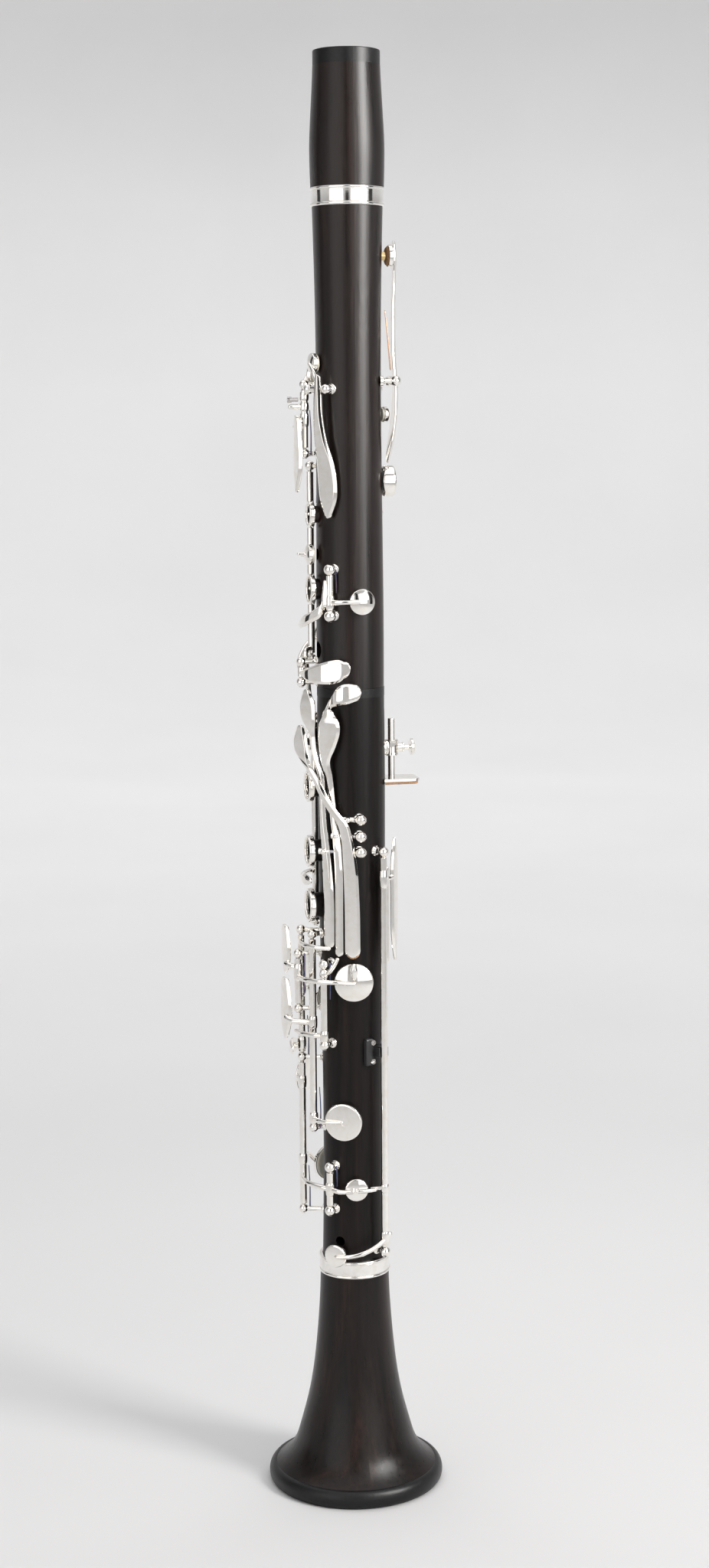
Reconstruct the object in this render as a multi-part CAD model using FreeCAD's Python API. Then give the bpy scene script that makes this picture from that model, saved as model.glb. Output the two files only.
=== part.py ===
import FreeCAD, Part
import math
import os

# Clarinet with a long body, standing on its bell.  Millimetres.
# Origin: centre of the bell's mouth plane, +Z up along the bore.
# Front (finger rings) faces -Y, the player's left is +X, the thumb side is +Y.
# Angles go round the body from the front (0) towards the player's left (90).

# ---------------------------------------------------------------- driving sizes
TOTAL = 637.0            # bell mouth to barrel top
BARREL_Z = 572.0         # barrel bottom / upper joint shoulder
MIDDLE_Z = 366.0         # upper joint bottom / lower joint top
BELL_Z = 107.0           # bell top / lower joint bottom shoulder
BORE = 7.4               # cylindrical bore radius
TENON_LEN = 16.0
SOCKET_CLEAR = 0.5       # depth left under each tenon
RIM_R = 39.75            # bell rim radius
MOUTH_SOCKET_R = 11.4    # mouthpiece socket radius in the barrel
MOUTH_SOCKET_LEN = 16.0

STEEL_R = 0.8            # hinge steel radius
TUBE_BORE = 0.86         # key tube bore radius (0.06 running clearance)
TUBE_R = 1.6             # key tube outside radius
BALL_R = 2.3             # post ball radius
STEM_R = 1.15            # post stem radius
END_GAP = 2.5            # post centre to key tube end
PAD_GAP = 0.35           # closed pad above the wood's crest
PAD_OPEN = 2.6           # open pad above the wood's crest
PAD_T = 2.0              # pad thickness
RING_WALL = 1.5          # finger ring wall
ARM_R = 1.15             # round key arm radius

V = FreeCAD.Vector
UP = V(0, 0, 1)

# Outside radius of the wood against height, lower joint then upper joint.
LOWER_OUTSIDE = [(107.0, 14.4), (127.0, 14.0), (162.0, 13.65), (236.0, 14.2), (313.0, 14.9), (366.0, 14.7)]
UPPER_OUTSIDE = [(366.0, 14.7), (432.0, 14.5), (465.0, 14.2), (530.0, 14.3), (556.0, 14.8), (572.0, 15.2)]
BARREL_OUTSIDE = [(572.0, 15.7), (588.0, 16.0), (597.0, 16.1), (607.0, 15.7), (620.0, 14.95), (630.7, 14.45)]
BELL_OUTSIDE = [(99.0, 15.5), (86.7, 15.95), (68.5, 17.3), (53.7, 18.95), (39.0, 21.6), (24.3, 25.5),
                (17.0, 28.05), (11.0, 32.6), (8.0, 36.4)]
BELL_INSIDE = [(88.0, 11.3), (68.5, 12.9), (53.7, 14.6), (39.0, 17.2), (24.3, 21.4), (14.0, 26.6),
               (7.0, 31.8), (2.6, 35.0)]


# ---------------------------------------------------------------- small tools
def radial(angle):
    a = math.radians(angle)
    return V(math.sin(a), -math.cos(a), 0)


def tangent(angle):
    a = math.radians(angle)
    return V(math.cos(a), math.sin(a), 0)


def at(angle, r, z):
    p = radial(angle) * r
    return V(p.x, p.y, z)


def wood_r(z):
    """Outside radius of the joints' wood at height z."""
    table = LOWER_OUTSIDE if z < MIDDLE_Z else UPPER_OUTSIDE
    for (z0, r0), (z1, r1) in zip(table, table[1:]):
        if z0 <= z <= z1:
            return r0 + (r1 - r0) * (z - z0) / (z1 - z0)
    return table[0][1]


def rod(p, q, r):
    d = q - p
    return Part.makeCylinder(r, d.Length, p, d)


def ball(p, r):
    return Part.makeSphere(r, p)


def fuse(shapes):
    shapes = list(shapes)
    if len(shapes) == 1:
        return shapes[0]
    return shapes[0].multiFuse(shapes[1:]).removeSplitter()


def group(shapes):
    return Part.makeCompound(list(shapes))


def arm(points, r=ARM_R):
    """Rounded (octagonal) arm lofted through the points."""
    wires = []
    for i, p in enumerate(points):
        d = points[min(i + 1, len(points) - 1)] - points[max(i - 1, 0)]
        d.normalize()
        side = d.cross(UP) if abs(d.z) < 0.9 else d.cross(V(1, 0, 0))
        side.normalize()
        lift = side.cross(d)
        turns = [math.radians(22.5 + 45 * k) for k in range(8)]
        ring = [p + side * (r * math.cos(t)) + lift * (r * math.sin(t)) for t in turns]
        wires.append(Part.makePolygon(ring + [ring[0]]))
    return Part.makeLoft(wires, True, True)


def local(shape, angle, r, z):
    """Move a shape drawn with X along the tangent, Y up and Z outwards."""
    t = tangent(angle)
    n = radial(angle)
    o = at(angle, r, z)
    shape.Placement = FreeCAD.Placement(
        FreeCAD.Matrix(t.x, 0, n.x, o.x, t.y, 0, n.y, o.y, 0, 1, 0, o.z, 0, 0, 0, 1))
    return shape


def smooth_profile(table):
    curve = Part.BSplineCurve()
    curve.interpolate([V(r, 0, z) for z, r in table])
    return curve.toShape()


def line(p, q):
    return Part.makeLine(V(p[0], 0, p[1]), V(q[0], 0, q[1]))


def revolve(edges):
    face = Part.Face(Part.Wire(Part.__sortEdges__(edges)))
    return face.revolve(V(0, 0, 0), UP, 360)


def ring_of(z0, z1, r_in, r_out):
    outer = Part.makeCylinder(r_out, z1 - z0, V(0, 0, z0))
    inner = Part.makeCylinder(r_in, z1 - z0 + 2, V(0, 0, z0 - 1))
    return outer.cut(inner)


def bead_ring(z0, z1, r_in, r_out, bead, waist):
    """Turned socket ring: a bead at each edge and a hollow band between."""
    zm = (z0 + z1) / 2
    p = [(r_in, z0), (r_out - 0.3, z0), (r_out, z0 + 0.4), (r_out, z0 + bead),
         (r_out - waist, z0 + bead + 0.5),
         (r_out - waist * 1.4, zm), (r_out - waist, z1 - bead - 0.5), (r_out, z1 - bead), (r_out, z1 - 0.4),
         (r_out - 0.3, z1), (r_in, z1)]
    edges = [line(a, b) for a, b in zip(p, p[1:])]
    edges.append(line(p[-1], p[0]))
    return revolve(edges)


def leaf(outline, thick):
    """Flat touch piece: closed smooth outline (tangent, height) given its thickness."""
    curve = Part.BSplineCurve()
    curve.interpolate([V(x, y, 0) for x, y in outline], PeriodicFlag=True)
    face = Part.Face(Part.Wire([curve.toShape()]))
    return face.extrude(V(0, 0, thick))


def wrapped(outline, angle, z, r0, r1):
    """Touch piece bent round the body between radii r0 and r1."""
    prism = local(leaf(outline, 3 * r1), angle, 0, z)
    heights = [y for x, y in outline]
    low = z + min(heights) - 3
    high = z + max(heights) + 3
    return prism.common(ring_of(low, high, r0, r1))


def section(angle, r, z, wide, thick, upright, lean=0.0):
    """Bevelled section across a bar; wide runs round the body, or up if upright; lean turns its face."""
    n = radial(angle + lean)
    w = UP if upright else tangent(angle + lean)
    c = at(angle, r, z)
    bevel = 0.3 * min(wide, thick)
    hw = wide / 2
    ht = thick / 2
    corners = [(hw, -ht), (hw, ht - bevel), (hw - bevel, ht), (bevel - hw, ht), (-hw, ht - bevel), (-hw, -ht)]
    points = [c + w * a + n * b for a, b in corners]
    return Part.makePolygon(points + [points[0]])


def bar(stations, upright=False):
    """Flat bar lofted through stations of (angle, radius, height, width, thickness, lean if any)."""
    return Part.makeLoft([section(*s[:5], upright, *s[5:]) for s in stations], True, True)


# ---------------------------------------------------------------- posts, steels and holes
posts = {"upper": [], "lower": []}
steels = []
holes = {"upper": [], "lower": []}
chimneys = {"upper": [], "lower": []}


def joint_of(z):
    return "upper" if z > MIDDLE_Z else "lower"


def post(angle, r, z, ball_r=BALL_R):
    """Post screwed into the wood: foot, stem and ball."""
    w = wood_r(z)
    foot_r = 1.8 if abs(z - MIDDLE_Z) < 3 else 2.4
    foot = rod(at(angle, w - 0.9, z), at(angle, w + 0.6, z), foot_r)
    stem = rod(at(angle, w - 3.0, z), at(angle, r, z), STEM_R)
    posts[joint_of(z)].append(fuse([foot, stem, ball(at(angle, r, z), ball_r)]))


def upright_hinge(angle, r, z0, z1, ball_r=BALL_R):
    """Hinge along the body: a post at each end, a steel between, and the key tube."""
    post(angle, r, z0, ball_r)
    post(angle, r, z1, ball_r)
    steels.append(rod(at(angle, r, z0 - ball_r), at(angle, r, z1 + ball_r), STEEL_R))
    return rod(at(angle, r, z0 + END_GAP), at(angle, r, z1 - END_GAP), TUBE_R)


def steel_bore(p, q):
    return rod(p, q, TUBE_BORE)


def upright_bore(angle, r, z0, z1):
    return steel_bore(at(angle, r, z0), at(angle, r, z1))


def tone_hole(angle, z, r):
    holes[joint_of(z)].append(rod(at(angle, 0, z), at(angle, 25, z), r))


def chimney(angle, z, r, top):
    """Raised wooden lip round an open hole."""
    chimneys[joint_of(z)].append(rod(at(angle, BORE + 1, z), at(angle, top, z), r))


def pad_cup(angle, z, bottom, radius, dome=1.0):
    """Key cup over its pad; bottom is the radius of the pad's face."""
    shell = Part.makeCylinder(radius, 2.0, V(0, 0, 1.0))
    cap_r = (radius ** 2 + dome ** 2) / (2 * dome)
    cap = Part.makeSphere(cap_r, V(0, 0, 3.0 + dome - cap_r))
    cap = cap.common(Part.makeCylinder(radius, dome + 1, V(0, 0, 2.9)))
    cup = fuse([shell, cap]).cut(Part.makeCylinder(radius - 0.4, PAD_T, V(0, 0, 0)))
    return local(cup, angle, bottom, z)


def pad(angle, z, bottom, radius):
    disc = Part.makeCylinder(radius - 0.45, PAD_T, V(0, 0, 0))
    return local(disc, angle, bottom, z)


def finger_ring(angle, z, r0, r1, r_out):
    """Finger ring standing off the body between radii r0 and r1."""
    hoop = rod(at(angle, r0, z), at(angle, r1, z), r_out)
    return hoop.cut(rod(at(angle, r0 - 1, z), at(angle, r1 + 1, z), r_out - RING_WALL))


# ---------------------------------------------------------------- keywork, upper joint
def register_key():
    z = 498.3
    r = 19.6
    half = 6.2
    for side in (-1, 1):
        foot = V(side * half, wood_r(z) - 3.0, z)
        top = V(side * half, r, z)
        posts["upper"].append(fuse([rod(foot, top, STEM_R), ball(top, BALL_R)]))
    steels.append(rod(V(-half - BALL_R, r, z), V(half + BALL_R, r, z), STEEL_R))
    hinge = rod(V(2.5 - half, r, z), V(half - 2.5, r, z), TUBE_R)
    lever = bar([(180, 20.3, 556, 5.0, 1.3), (180, 20.5, 545, 3.6, 1.4), (180, 19.4, 526, 4.2, 1.8),
                 (180, 19.9, 505, 5.0, 1.8), (180, 20.6, 495, 6.0, 1.6), (180, 20.0, 482, 7.6, 1.4),
                 (180, 18.4, 471, 7.0, 1.3), (180, 17.4, 465, 4.0, 1.1)])
    cup = pad_cup(180, 551.5, 16.5, 4.9, 0.8)
    key = fuse([hinge, lever, cup]).cut(steel_bore(V(-half, r, z), V(half, r, z)))
    cork = pad(180, 551.5, 16.5, 4.9)
    spring = rod(V(0, 18.3, 506.5), V(0, 15.9, 514.0), 0.45)
    spring = spring.cut(key)
    return {"register_key": key, "register_pad": cork.cut(key), "register_spring": spring}


def thumb_key():
    angle, r = 212, 17.6
    z0, z1 = 441.0, 495.0
    tube = upright_hinge(angle, r, z0, z1)
    ring = finger_ring(180, 455.3, 10, 19.7, 6.8).common(ring_of(440, 470, 15.3, 26))
    neck = arm([at(angle, r, 455.3), at(200, 17.6, 455.3)], 1.3)
    neck = neck.cut(rod(at(180, 10, 455.3), at(180, 25, 455.3), 6.0))
    reach = arm([at(angle, r, 484), at(201, 16.9, 484)], 1.0)
    bottom = wood_r(484) + 0.75
    cup = pad_cup(190, 484, bottom, 3.4, 0.4)
    tone_hole(190, 484, 2.2)
    key = fuse([tube, ring, neck, reach, cup]).cut(upright_bore(angle, r, z0, z1))
    return {"thumb_ring_key": group([key, pad(190, 484, bottom, 3.4).cut(key)])}


def throat_a_key():
    angle, r = -3, 19.4
    z0, z1 = 467.5, 497.0
    tube = upright_hinge(angle, r, z0, z1, 2.2)
    touch = wrapped([(0.0, -13), (4.6, -4), (4.4, 8), (1.2, 20), (-0.6, 20), (-2.4, 8), (-2.6, -6)], 9, 464,
                    23.6, 25.0)
    stalk = arm([at(angle, r, 482), at(4, 23.9, 479)], 1.4)
    lug = arm([at(angle, r, 487.5), at(angle, 25.4, 487.5)], 1.2)
    reach = arm([at(angle, r, 492), at(-16, 19.4, 497), at(-25, 18.0, 501)], 1.1)
    bottom = wood_r(501) + PAD_GAP
    cup = pad_cup(-25, 501, bottom, 4.6)
    tone_hole(-25, 501, 2.5)
    key = fuse([tube, touch, stalk, lug, reach, cup]).cut(upright_bore(angle, r, z0, z1))
    screw = rod(at(angle, 22.0, 490.6), at(angle, 26.8, 490.6), 1.3)
    slot = Part.makeBox(0.5, 0.8, 4, V(-0.25, -0.4, -2))
    slot.translate(at(angle, 26.7, 490.6))
    screw = screw.cut(slot).cut(key)
    return {"throat_a_key": group([key, pad(-25, 501, bottom, 4.6).cut(key)]), "throat_a_screw": screw}


def throat_gs_key():
    z = 495.0
    axis = 33
    offset = 17.9
    t = tangent(axis)
    mid = at(axis, offset, z)
    ends = [mid - t * 6.5, mid + t * 4.6]
    for end in ends:
        inward = V(-end.x, -end.y, 0)
        inward.normalize()
        foot = end + inward * (V(end.x, end.y, 0).Length - wood_r(z) + 3.0)
        posts["upper"].append(fuse([rod(foot, end, STEM_R), ball(end, 2.2)]))
    steels.append(rod(ends[0] - t * 2.0, ends[1] + t * 2.0, STEEL_R))
    tube = rod(ends[0] + t * 2.4, ends[1] - t * 2.4, TUBE_R)
    lever = bar([(33, 19.0, 500, 3.0, 1.6), (34, 19.4, 494, 4.0, 1.7), (35, 19.6, 484, 4.8, 1.7),
                 (39, 19.2, 472, 6.6, 1.6), (44, 18.6, 464, 8.2, 1.5), (47, 18.2, 455, 9.0, 1.5),
                 (47, 17.7, 447, 7.6, 1.4), (46, 17.3, 441.5, 3.0, 1.2)])
    reach = arm([mid + V(0, 0, 2.0) + radial(axis) * 0.6, at(22, 18.4, 503.5), at(13, 17.9, 505.5)], 1.1)
    bottom = wood_r(506) + PAD_GAP
    cup = pad_cup(10, 506, bottom, 4.4)
    tone_hole(10, 506, 2.4)
    key = fuse([tube, lever, reach, cup]).cut(steel_bore(ends[0], ends[1]))
    return {"throat_gs_key": group([key, pad(10, 506, bottom, 4.4).cut(key)])}


def upper_ring_key():
    angle, r = -32, 18.2
    z0, z1 = 377.5, 462.0
    tube = upright_hinge(angle, r, z0, z1)
    parts = [tube]
    for z, out in ((441.3, 6.0), (408.8, 6.9)):
        parts.append(finger_ring(0, z, 16.2, 18.6, out))
        inner = rod(at(0, 14, z), at(0, 22, z), out - 0.4)
        parts.append(arm([at(angle, r, z), at(-20, 17.9, z)], 1.3).cut(inner))
        tone_hole(0, z, 3.6)
        chimney(0, z, out - 2.3, 16.6)
    bottom = wood_r(424) + PAD_OPEN - 0.9
    parts.append(pad_cup(2, 424, bottom, 4.5))
    parts.append(arm([at(angle, r, 424), at(-16, 19.0, 424), at(-3, 19.2, 424), at(-3, 22.4, 424)], 1.1))
    parts.append(arm([at(angle, r, 382), at(-19, 19.6, 381.5), at(-18, 19.3, 373), at(-21, 18.6, 362)], 1.2))
    tone_hole(2, 424, 2.5)
    key = fuse(parts).cut(upright_bore(angle, r, z0, z1))
    return {"upper_ring_key": group([key, pad(2, 424, bottom, 4.5).cut(key)])}


def sliver_eb_key():
    angle, r = 50.5, 18.6
    z0, z1 = 398.0, 418.0
    tube = upright_hinge(angle, r, z0, z1, 2.6)
    reach = arm([at(angle, r, 404), at(70, 18.9, 404), at(88, 18.4, 404.2)], 1.1)
    lug = bar([(44, 19.6, 403, 2.6, 2.6), (44.5, 19.0, 412.8, 1.6, 2.0)])
    touch = bar([(44, 19.6, 405, 3.0, 2.2), (40, 20.6, 400.5, 5.0, 1.6), (26, 21.4, 397.5, 4.6, 1.4),
                 (10, 22.0, 395.3, 4.6, 1.3), (-2, 22.2, 393.8, 3.4, 1.2)], True)
    bottom = wood_r(404) + PAD_GAP
    cup = pad_cup(96, 404, bottom, 5.7, 1.5)
    tone_hole(96, 404, 3.0)
    key = fuse([tube, reach, lug, touch, cup]).cut(upright_bore(angle, r, z0, z1))
    return {"sliver_eb_key": key, "sliver_eb_pad": pad(96, 404, bottom, 5.7).cut(key)}


def cs_gs_key():
    angle, r = -4, 21.8
    z0, z1 = 368.0, 377.0
    tube = upright_hinge(angle, r, z0, z1, 2.2)
    touch = bar([(-4, 21.9, 372.2, 3.0, 1.8), (18, 20.8, 372.0, 6.6, 1.5), (36, 19.2, 372.8, 9.6, 1.5),
                 (52, 18.2, 373.4, 10.4, 1.5), (63, 18.0, 373.8, 9.0, 1.4), (71, 17.9, 374.0, 4.0, 1.2)], True)
    reach = arm([at(angle, r, 372.5), at(-20, 22.8, 376), at(-40, 21.2, 384), at(-54, 18.4, 388)], 1.1)
    bottom = wood_r(388) + PAD_GAP
    cup = pad_cup(-58, 388, bottom, 5.0)
    tone_hole(-58, 388, 2.8)
    key = fuse([tube, touch, reach, cup]).cut(upright_bore(angle, r, z0, z1))
    return {"cs_gs_key": group([key, pad(-58, 388, bottom, 5.0).cut(key)])}


# Side keys on the player's right: bar angle, cup angle, pivot height, cup height.
SIDE_KEYS = [(-84, -75, 392.0, 419.0), (-99, -90, 398.0, 437.0), (-114, -105, 442.0, 490.0),
             (-129, -121, 448.0, 512.0)]
SIDE_TOUCH_Z = 357.0


def rocker(angle, z, r):
    """Centre lug, pin and the matching cheeks of a rocking bar; returns cheeks, slot and pin hole."""
    t = tangent(angle)
    c = at(angle, r, z)
    rise = r - wood_r(z)
    lug = local(Part.makeBox(1.1, 3.0, rise + 4.2, V(-0.55, -1.5, -rise - 3.0)), angle, r, z)
    pin = rod(c - t * 1.6, c + t * 1.6, 0.5)
    posts[joint_of(z)].append(lug.cut(pin))
    steels.append(pin)
    cheeks = local(Part.makeBox(3.2, 4.4, 2.4, V(-1.6, -2.2, -1.2)), angle, r, z)
    slot = local(Part.makeBox(1.4, 5.2, 5.6, V(-0.7, -2.6, -4.2)), angle, r, z)
    hole = rod(c - t * 3, c + t * 3, 0.56)
    return cheeks, slot, hole


def side_key(number):
    angle, cup_angle, pivot, cup_z = SIDE_KEYS[number]
    r = 17.2
    cheeks, slot, hole = rocker(angle, pivot, r)
    touch_r = 18.9
    stations = [(angle, touch_r - 0.2, SIDE_TOUCH_Z - 11, 2.6, 1.2),
                (angle, touch_r, SIDE_TOUCH_Z - 7, 4.0, 1.4),
                (angle, touch_r + 0.1, SIDE_TOUCH_Z + 5, 4.0, 1.4),
                (angle, 18.7, SIDE_TOUCH_Z + 14, 3.0, 1.4),
                (angle, 18.6, pivot - 4, 2.8, 1.4), (angle, 18.6, pivot + 4, 2.8, 1.4),
                (angle, 18.3, cup_z - 9, 2.6, 1.4), (cup_angle, 18.0, cup_z - 1, 2.4, 1.2)]
    bottom = wood_r(cup_z) + PAD_GAP
    cup = pad_cup(cup_angle, cup_z, bottom, 3.9, 0.8)
    tone_hole(cup_angle, cup_z, 2.3)
    beam = bar(stations)
    key = fuse([beam, cheeks, cup]).cut(slot).cut(hole)
    return {"side_key_%d" % (number + 1): group([key, pad(cup_angle, cup_z, bottom, 3.9).cut(key)])}


# ---------------------------------------------------------------- keywork, lower joint
def lower_ring_key():
    angle, r = -40, 18.4
    z0, z1 = 259.0, 351.5
    tube = upright_hinge(angle, r, z0, z1)
    parts = [tube]
    for z, out in ((322.0, 7.0), (293.0, 7.1), (268.5, 7.7)):
        parts.append(finger_ring(0, z, 17.6, 20.3, out))
        inner = rod(at(0, 14, z), at(0, 24, z), out - 0.4)
        parts.append(arm([at(angle, r, z), at(-23, 19.3, z)], 1.3).cut(inner))
        tone_hole(0, z, 4.0)
        chimney(0, z, out - 2.2, 17.1)
    bottom = wood_r(341) + PAD_OPEN - 0.9
    parts.append(pad_cup(-22, 341, bottom, 4.2))
    parts.append(arm([at(angle, r, 341), at(-32, 18.9, 341), at(-24, 18.9, 341)], 1.1))
    parts.append(arm([at(angle, r, 345), at(-24, 18.6, 345.5), at(-23, 17.2, 352), at(-22, 16.4, 359)], 1.1))
    tone_hole(-22, 341, 2.4)
    key = fuse(parts).cut(upright_bore(angle, r, z0, z1))
    return {"lower_ring_key": group([key, pad(-22, 341, bottom, 4.2).cut(key)])}


def bf_sliver_key():
    angle, r = -62, 18.4
    z0, z1 = 270.0, 300.0
    tube = upright_hinge(angle, r, z0, z1)
    touch = arm([at(angle, r, 281), at(-50, 22.2, 281), at(-28, 22.8, 280.7), at(-4, 21.6, 280.5)], 1.1)
    tip = bar([(-9, 21.8, 280.5, 4.6, 1.4), (8, 21.4, 280.5, 4.4, 1.3), (14, 20.9, 280.5, 2.4, 1.1)], True)
    reach = arm([at(angle, r, 292), at(-78, 18.6, 292)], 1.1)
    bottom = wood_r(292) + PAD_GAP
    cup = pad_cup(-86, 292, bottom, 4.4)
    tone_hole(-86, 292, 2.6)
    key = fuse([tube, touch, tip, reach, cup]).cut(upright_bore(angle, r, z0, z1))
    return {"bf_sliver_key": group([key, pad(-86, 292, bottom, 4.4).cut(key)])}


# Left-hand levers rock on parallel cross pins that lie tangent at this angle.
LEVER_AXIS = 62
LEVER_DEPTH = 16.7
LEVER_POST = 9.0         # outer post along each pin
# name: (pin height, where the tube starts and ends along the pin, bar stations)
LEVERS = {
    "lh_ab_eb_lever": (309.0, (0.8, 6.2), [
        (4, 23.2, 347.8, 3.0, 1.2, 38), (5, 23.5, 343, 7.0, 1.5, 38), (7, 23.2, 338, 7.2, 1.5, 34),
        (12, 22.6, 334.5, 5.6, 1.5, 20), (20, 21.9, 331, 4.6, 1.5, 6), (29, 21.1, 326.5, 4.4, 1.5),
        (42, 20.5, 319, 4.4, 1.5), (56, 20.1, 312, 4.6, 1.5), (67, 19.8, 307, 4.8, 1.5),
        (72, 19.6, 300, 5.0, 1.5), (75.5, 19.3, 290, 6.0, 1.4), (78, 18.8, 272, 6.6, 1.3),
        (78.5, 18.1, 250.4, 6.8, 1.3)]),
    "lh_f_c_lever": (301.5, (-4.4, 0.6), [
        (49.5, 20.7, 357.5, 3.0, 1.2), (50.5, 20.7, 353, 9.0, 1.5), (50, 20.5, 348, 10.4, 1.5),
        (46, 19.8, 341, 8.4, 1.5), (41, 18.9, 334, 4.8, 1.4), (45, 18.2, 328, 3.6, 1.3),
        (48, 17.6, 318, 3.2, 1.4), (53, 18.0, 307, 3.4, 1.5), (57, 18.6, 301, 3.6, 1.6),
        (61, 18.8, 288, 3.7, 1.6), (61, 18.6, 270, 3.6, 1.7), (60.5, 18.6, 249.6, 3.6, 1.7)]),
    "lh_e_b_lever": (294.5, (-10.2, -5.2), [
        (9, 20.7, 363.8, 2.8, 1.2, 36), (11, 20.9, 359, 7.2, 1.5, 36), (12, 20.6, 353, 7.4, 1.5, 34),
        (14, 19.2, 345, 3.8, 1.5, 12), (19, 18.8, 336, 3.4, 1.5), (32, 18.6, 327, 3.4, 1.5),
        (33, 18.5, 318, 3.4, 1.5), (35, 18.4, 306, 3.8, 1.6), (39, 18.3, 294, 4.6, 1.7),
        (43, 18.3, 280, 5.2, 1.7), (44, 18.3, 270, 5.4, 1.7), (44, 18.3, 253.6, 5.4, 1.7)]),
}


def lever_point(z, along):
    return at(LEVER_AXIS, LEVER_DEPTH, z) + tangent(LEVER_AXIS) * along


def lh_lever(name):
    z, (a0, a1), stations = LEVERS[name]
    outer = lever_point(z, LEVER_POST)
    inner = lever_point(z, a0)
    foot = V(outer.x, outer.y, 0)
    foot = foot * ((wood_r(z) - 3.0) / foot.Length) + V(0, 0, z)
    posts["lower"].append(fuse([rod(foot, outer, STEM_R), ball(outer, 2.5)]))
    steels.append(rod(inner, outer, STEEL_R))
    tube = rod(inner, lever_point(z, a1), 1.35)
    middle = lever_point(z, (a0 + a1) / 2)
    saddle = rod(middle, middle + radial(LEVER_AXIS) * 1.6, 1.3)
    key = fuse([tube, saddle, bar(stations)]).cut(steel_bore(inner, outer))
    return {name: key}


def fs_cs_lever():
    """Topmost left-hand touch; its bar lies under the others on a centre lug."""
    z = 345.0
    cheeks, slot, hole = rocker(29, z, 16.7)
    beam = bar([(84, 18.6, 364.6, 5.4, 1.4), (76, 18.9, 364.4, 8.4, 1.5), (64, 19.2, 363.6, 8.6, 1.5),
                (55, 18.6, 362.0, 6.6, 1.4), (47, 17.2, 359.6, 4.0, 1.3)], True)
    spine = bar([(50, 17.0, 361.0, 3.6, 1.2), (36, 16.8, 354, 2.6, 1.2), (29, 17.3, 346, 2.6, 1.2),
                 (29, 17.2, 338, 2.4, 1.2)])
    key = fuse([beam, spine, cheeks]).cut(slot).cut(hole)
    return {"lh_fs_cs_lever": key}


def lever_cork():
    cork = bar([(79, 16.9, 256, 6.0, 0.8), (79, 16.8, 246.2, 6.0, 0.8)])
    end = bar([(79, 17.5, 250.2, 6.0, 1.9), (79, 17.5, 246.2, 6.0, 1.9)])
    return {"lever_cork": fuse([cork, end])}


def ab_eb_key():
    angle, r = -4, 24.5
    z0, z1 = 221.5, 246.5
    tube = upright_hinge(angle, r, z0, z1, 2.1)
    touch = wrapped([(0, -11), (4.2, -5), (4.4, 4), (1.6, 11), (-2.6, 11), (-4.6, 3), (-3.6, -6)], -19, 247,
                    29.6, 31.0)
    stalk = arm([at(angle, r, 240), at(-9, 28.6, 240.5), at(-13, 30.0, 241)], 1.3)
    reach = arm([at(angle, r, 236), at(20, 24.6, 236.6), at(40, 23.4, 236.9), at(58, 21.4, 236.8),
                 at(70, 19.2, 236.3), at(79, 18.3, 236)], ARM_R)
    foot = arm([at(80, 18.3, 240), at(80, 19.0, 243.6)], 1.4)
    bottom = wood_r(236) + PAD_GAP
    cup = pad_cup(80, 236, bottom, 8.65, 1.7)
    tone_hole(80, 236, 5.2)
    key = fuse([tube, touch, stalk, reach, foot, cup]).cut(upright_bore(angle, r, z0, z1))
    return {"ab_eb_key": key, "ab_eb_pad": pad(80, 236, bottom, 8.65).cut(key)}


def fs_cs_key():
    angle, r = 8, 19.0
    z0, z1 = 167.5, 256.0
    tube = upright_hinge(angle, r, z0, z1, 2.2)
    touch = wrapped([(0, -14), (4.6, -6), (4.4, 6), (1.6, 14), (-2.6, 14), (-4.6, 4), (-4.0, -8)], -14, 220.5,
                    29.6, 31.0)
    stalk = arm([at(angle, r, 215.8), at(2, 24.0, 215.8), at(-6, 29.0, 216.2), at(-9, 30.0, 217)], 1.3)
    reach = arm([at(angle, r, 171.5), at(25, 19.2, 171.8), at(44, 18.6, 172)], ARM_R)
    point = arm([at(44, 18.6, 172), at(60, 17.6, 172)], 0.8)
    bottom = wood_r(172) + PAD_GAP
    cup = pad_cup(62, 172, bottom, 8.55, 0.35)
    dimple = rod(at(64, 16.9, 172.4), at(64, 19, 172.4), 1.9)
    tone_hole(62, 172, 5.2)
    key = fuse([tube, touch, stalk, reach, cup.cut(dimple), point]).cut(upright_bore(angle, r, z0, z1))
    return {"fs_cs_key": key, "fs_cs_pad": pad(62, 172, bottom, 8.55).cut(key)}


def right_hand_key(name, z0, z1, cup_angle, cup_z, touch_z, cross_z, plate):
    """Open-standing pinky key on the outer front rod."""
    angle, r = -20, 23.2
    tube = rod(at(angle, r, z0), at(angle, r, z1), TUBE_R)
    outline = [(-6, 0), (-4, 6), (3, 8), (8, 4), (8.5, -4), (4, -8), (-4, -6)]
    touch = wrapped(outline, -52, touch_z, 27.4, 28.8)
    stalk = arm([at(angle, r, touch_z), at(-32, 26.6, touch_z), at(-42, 28.0, touch_z)], 1.4)
    reach = arm([at(angle, r, cross_z), at(-38, 23.4, cross_z), at(-54, 21.6, cup_z),
                 at(cup_angle, 20.0, cup_z)],
                ARM_R)
    bottom = wood_r(cup_z) + PAD_OPEN
    cup = pad_cup(cup_angle, cup_z, bottom, 8.0, 0.8)
    tone_hole(cup_angle, cup_z, 5.0)
    parts = [tube, touch, stalk, reach, cup] + plate
    key = fuse(parts).cut(upright_bore(angle, r, z0 - 1, z1 + 1))
    return {name + "_key": key, name + "_pad": pad(cup_angle, cup_z, bottom, 8.0).cut(key)}


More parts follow.
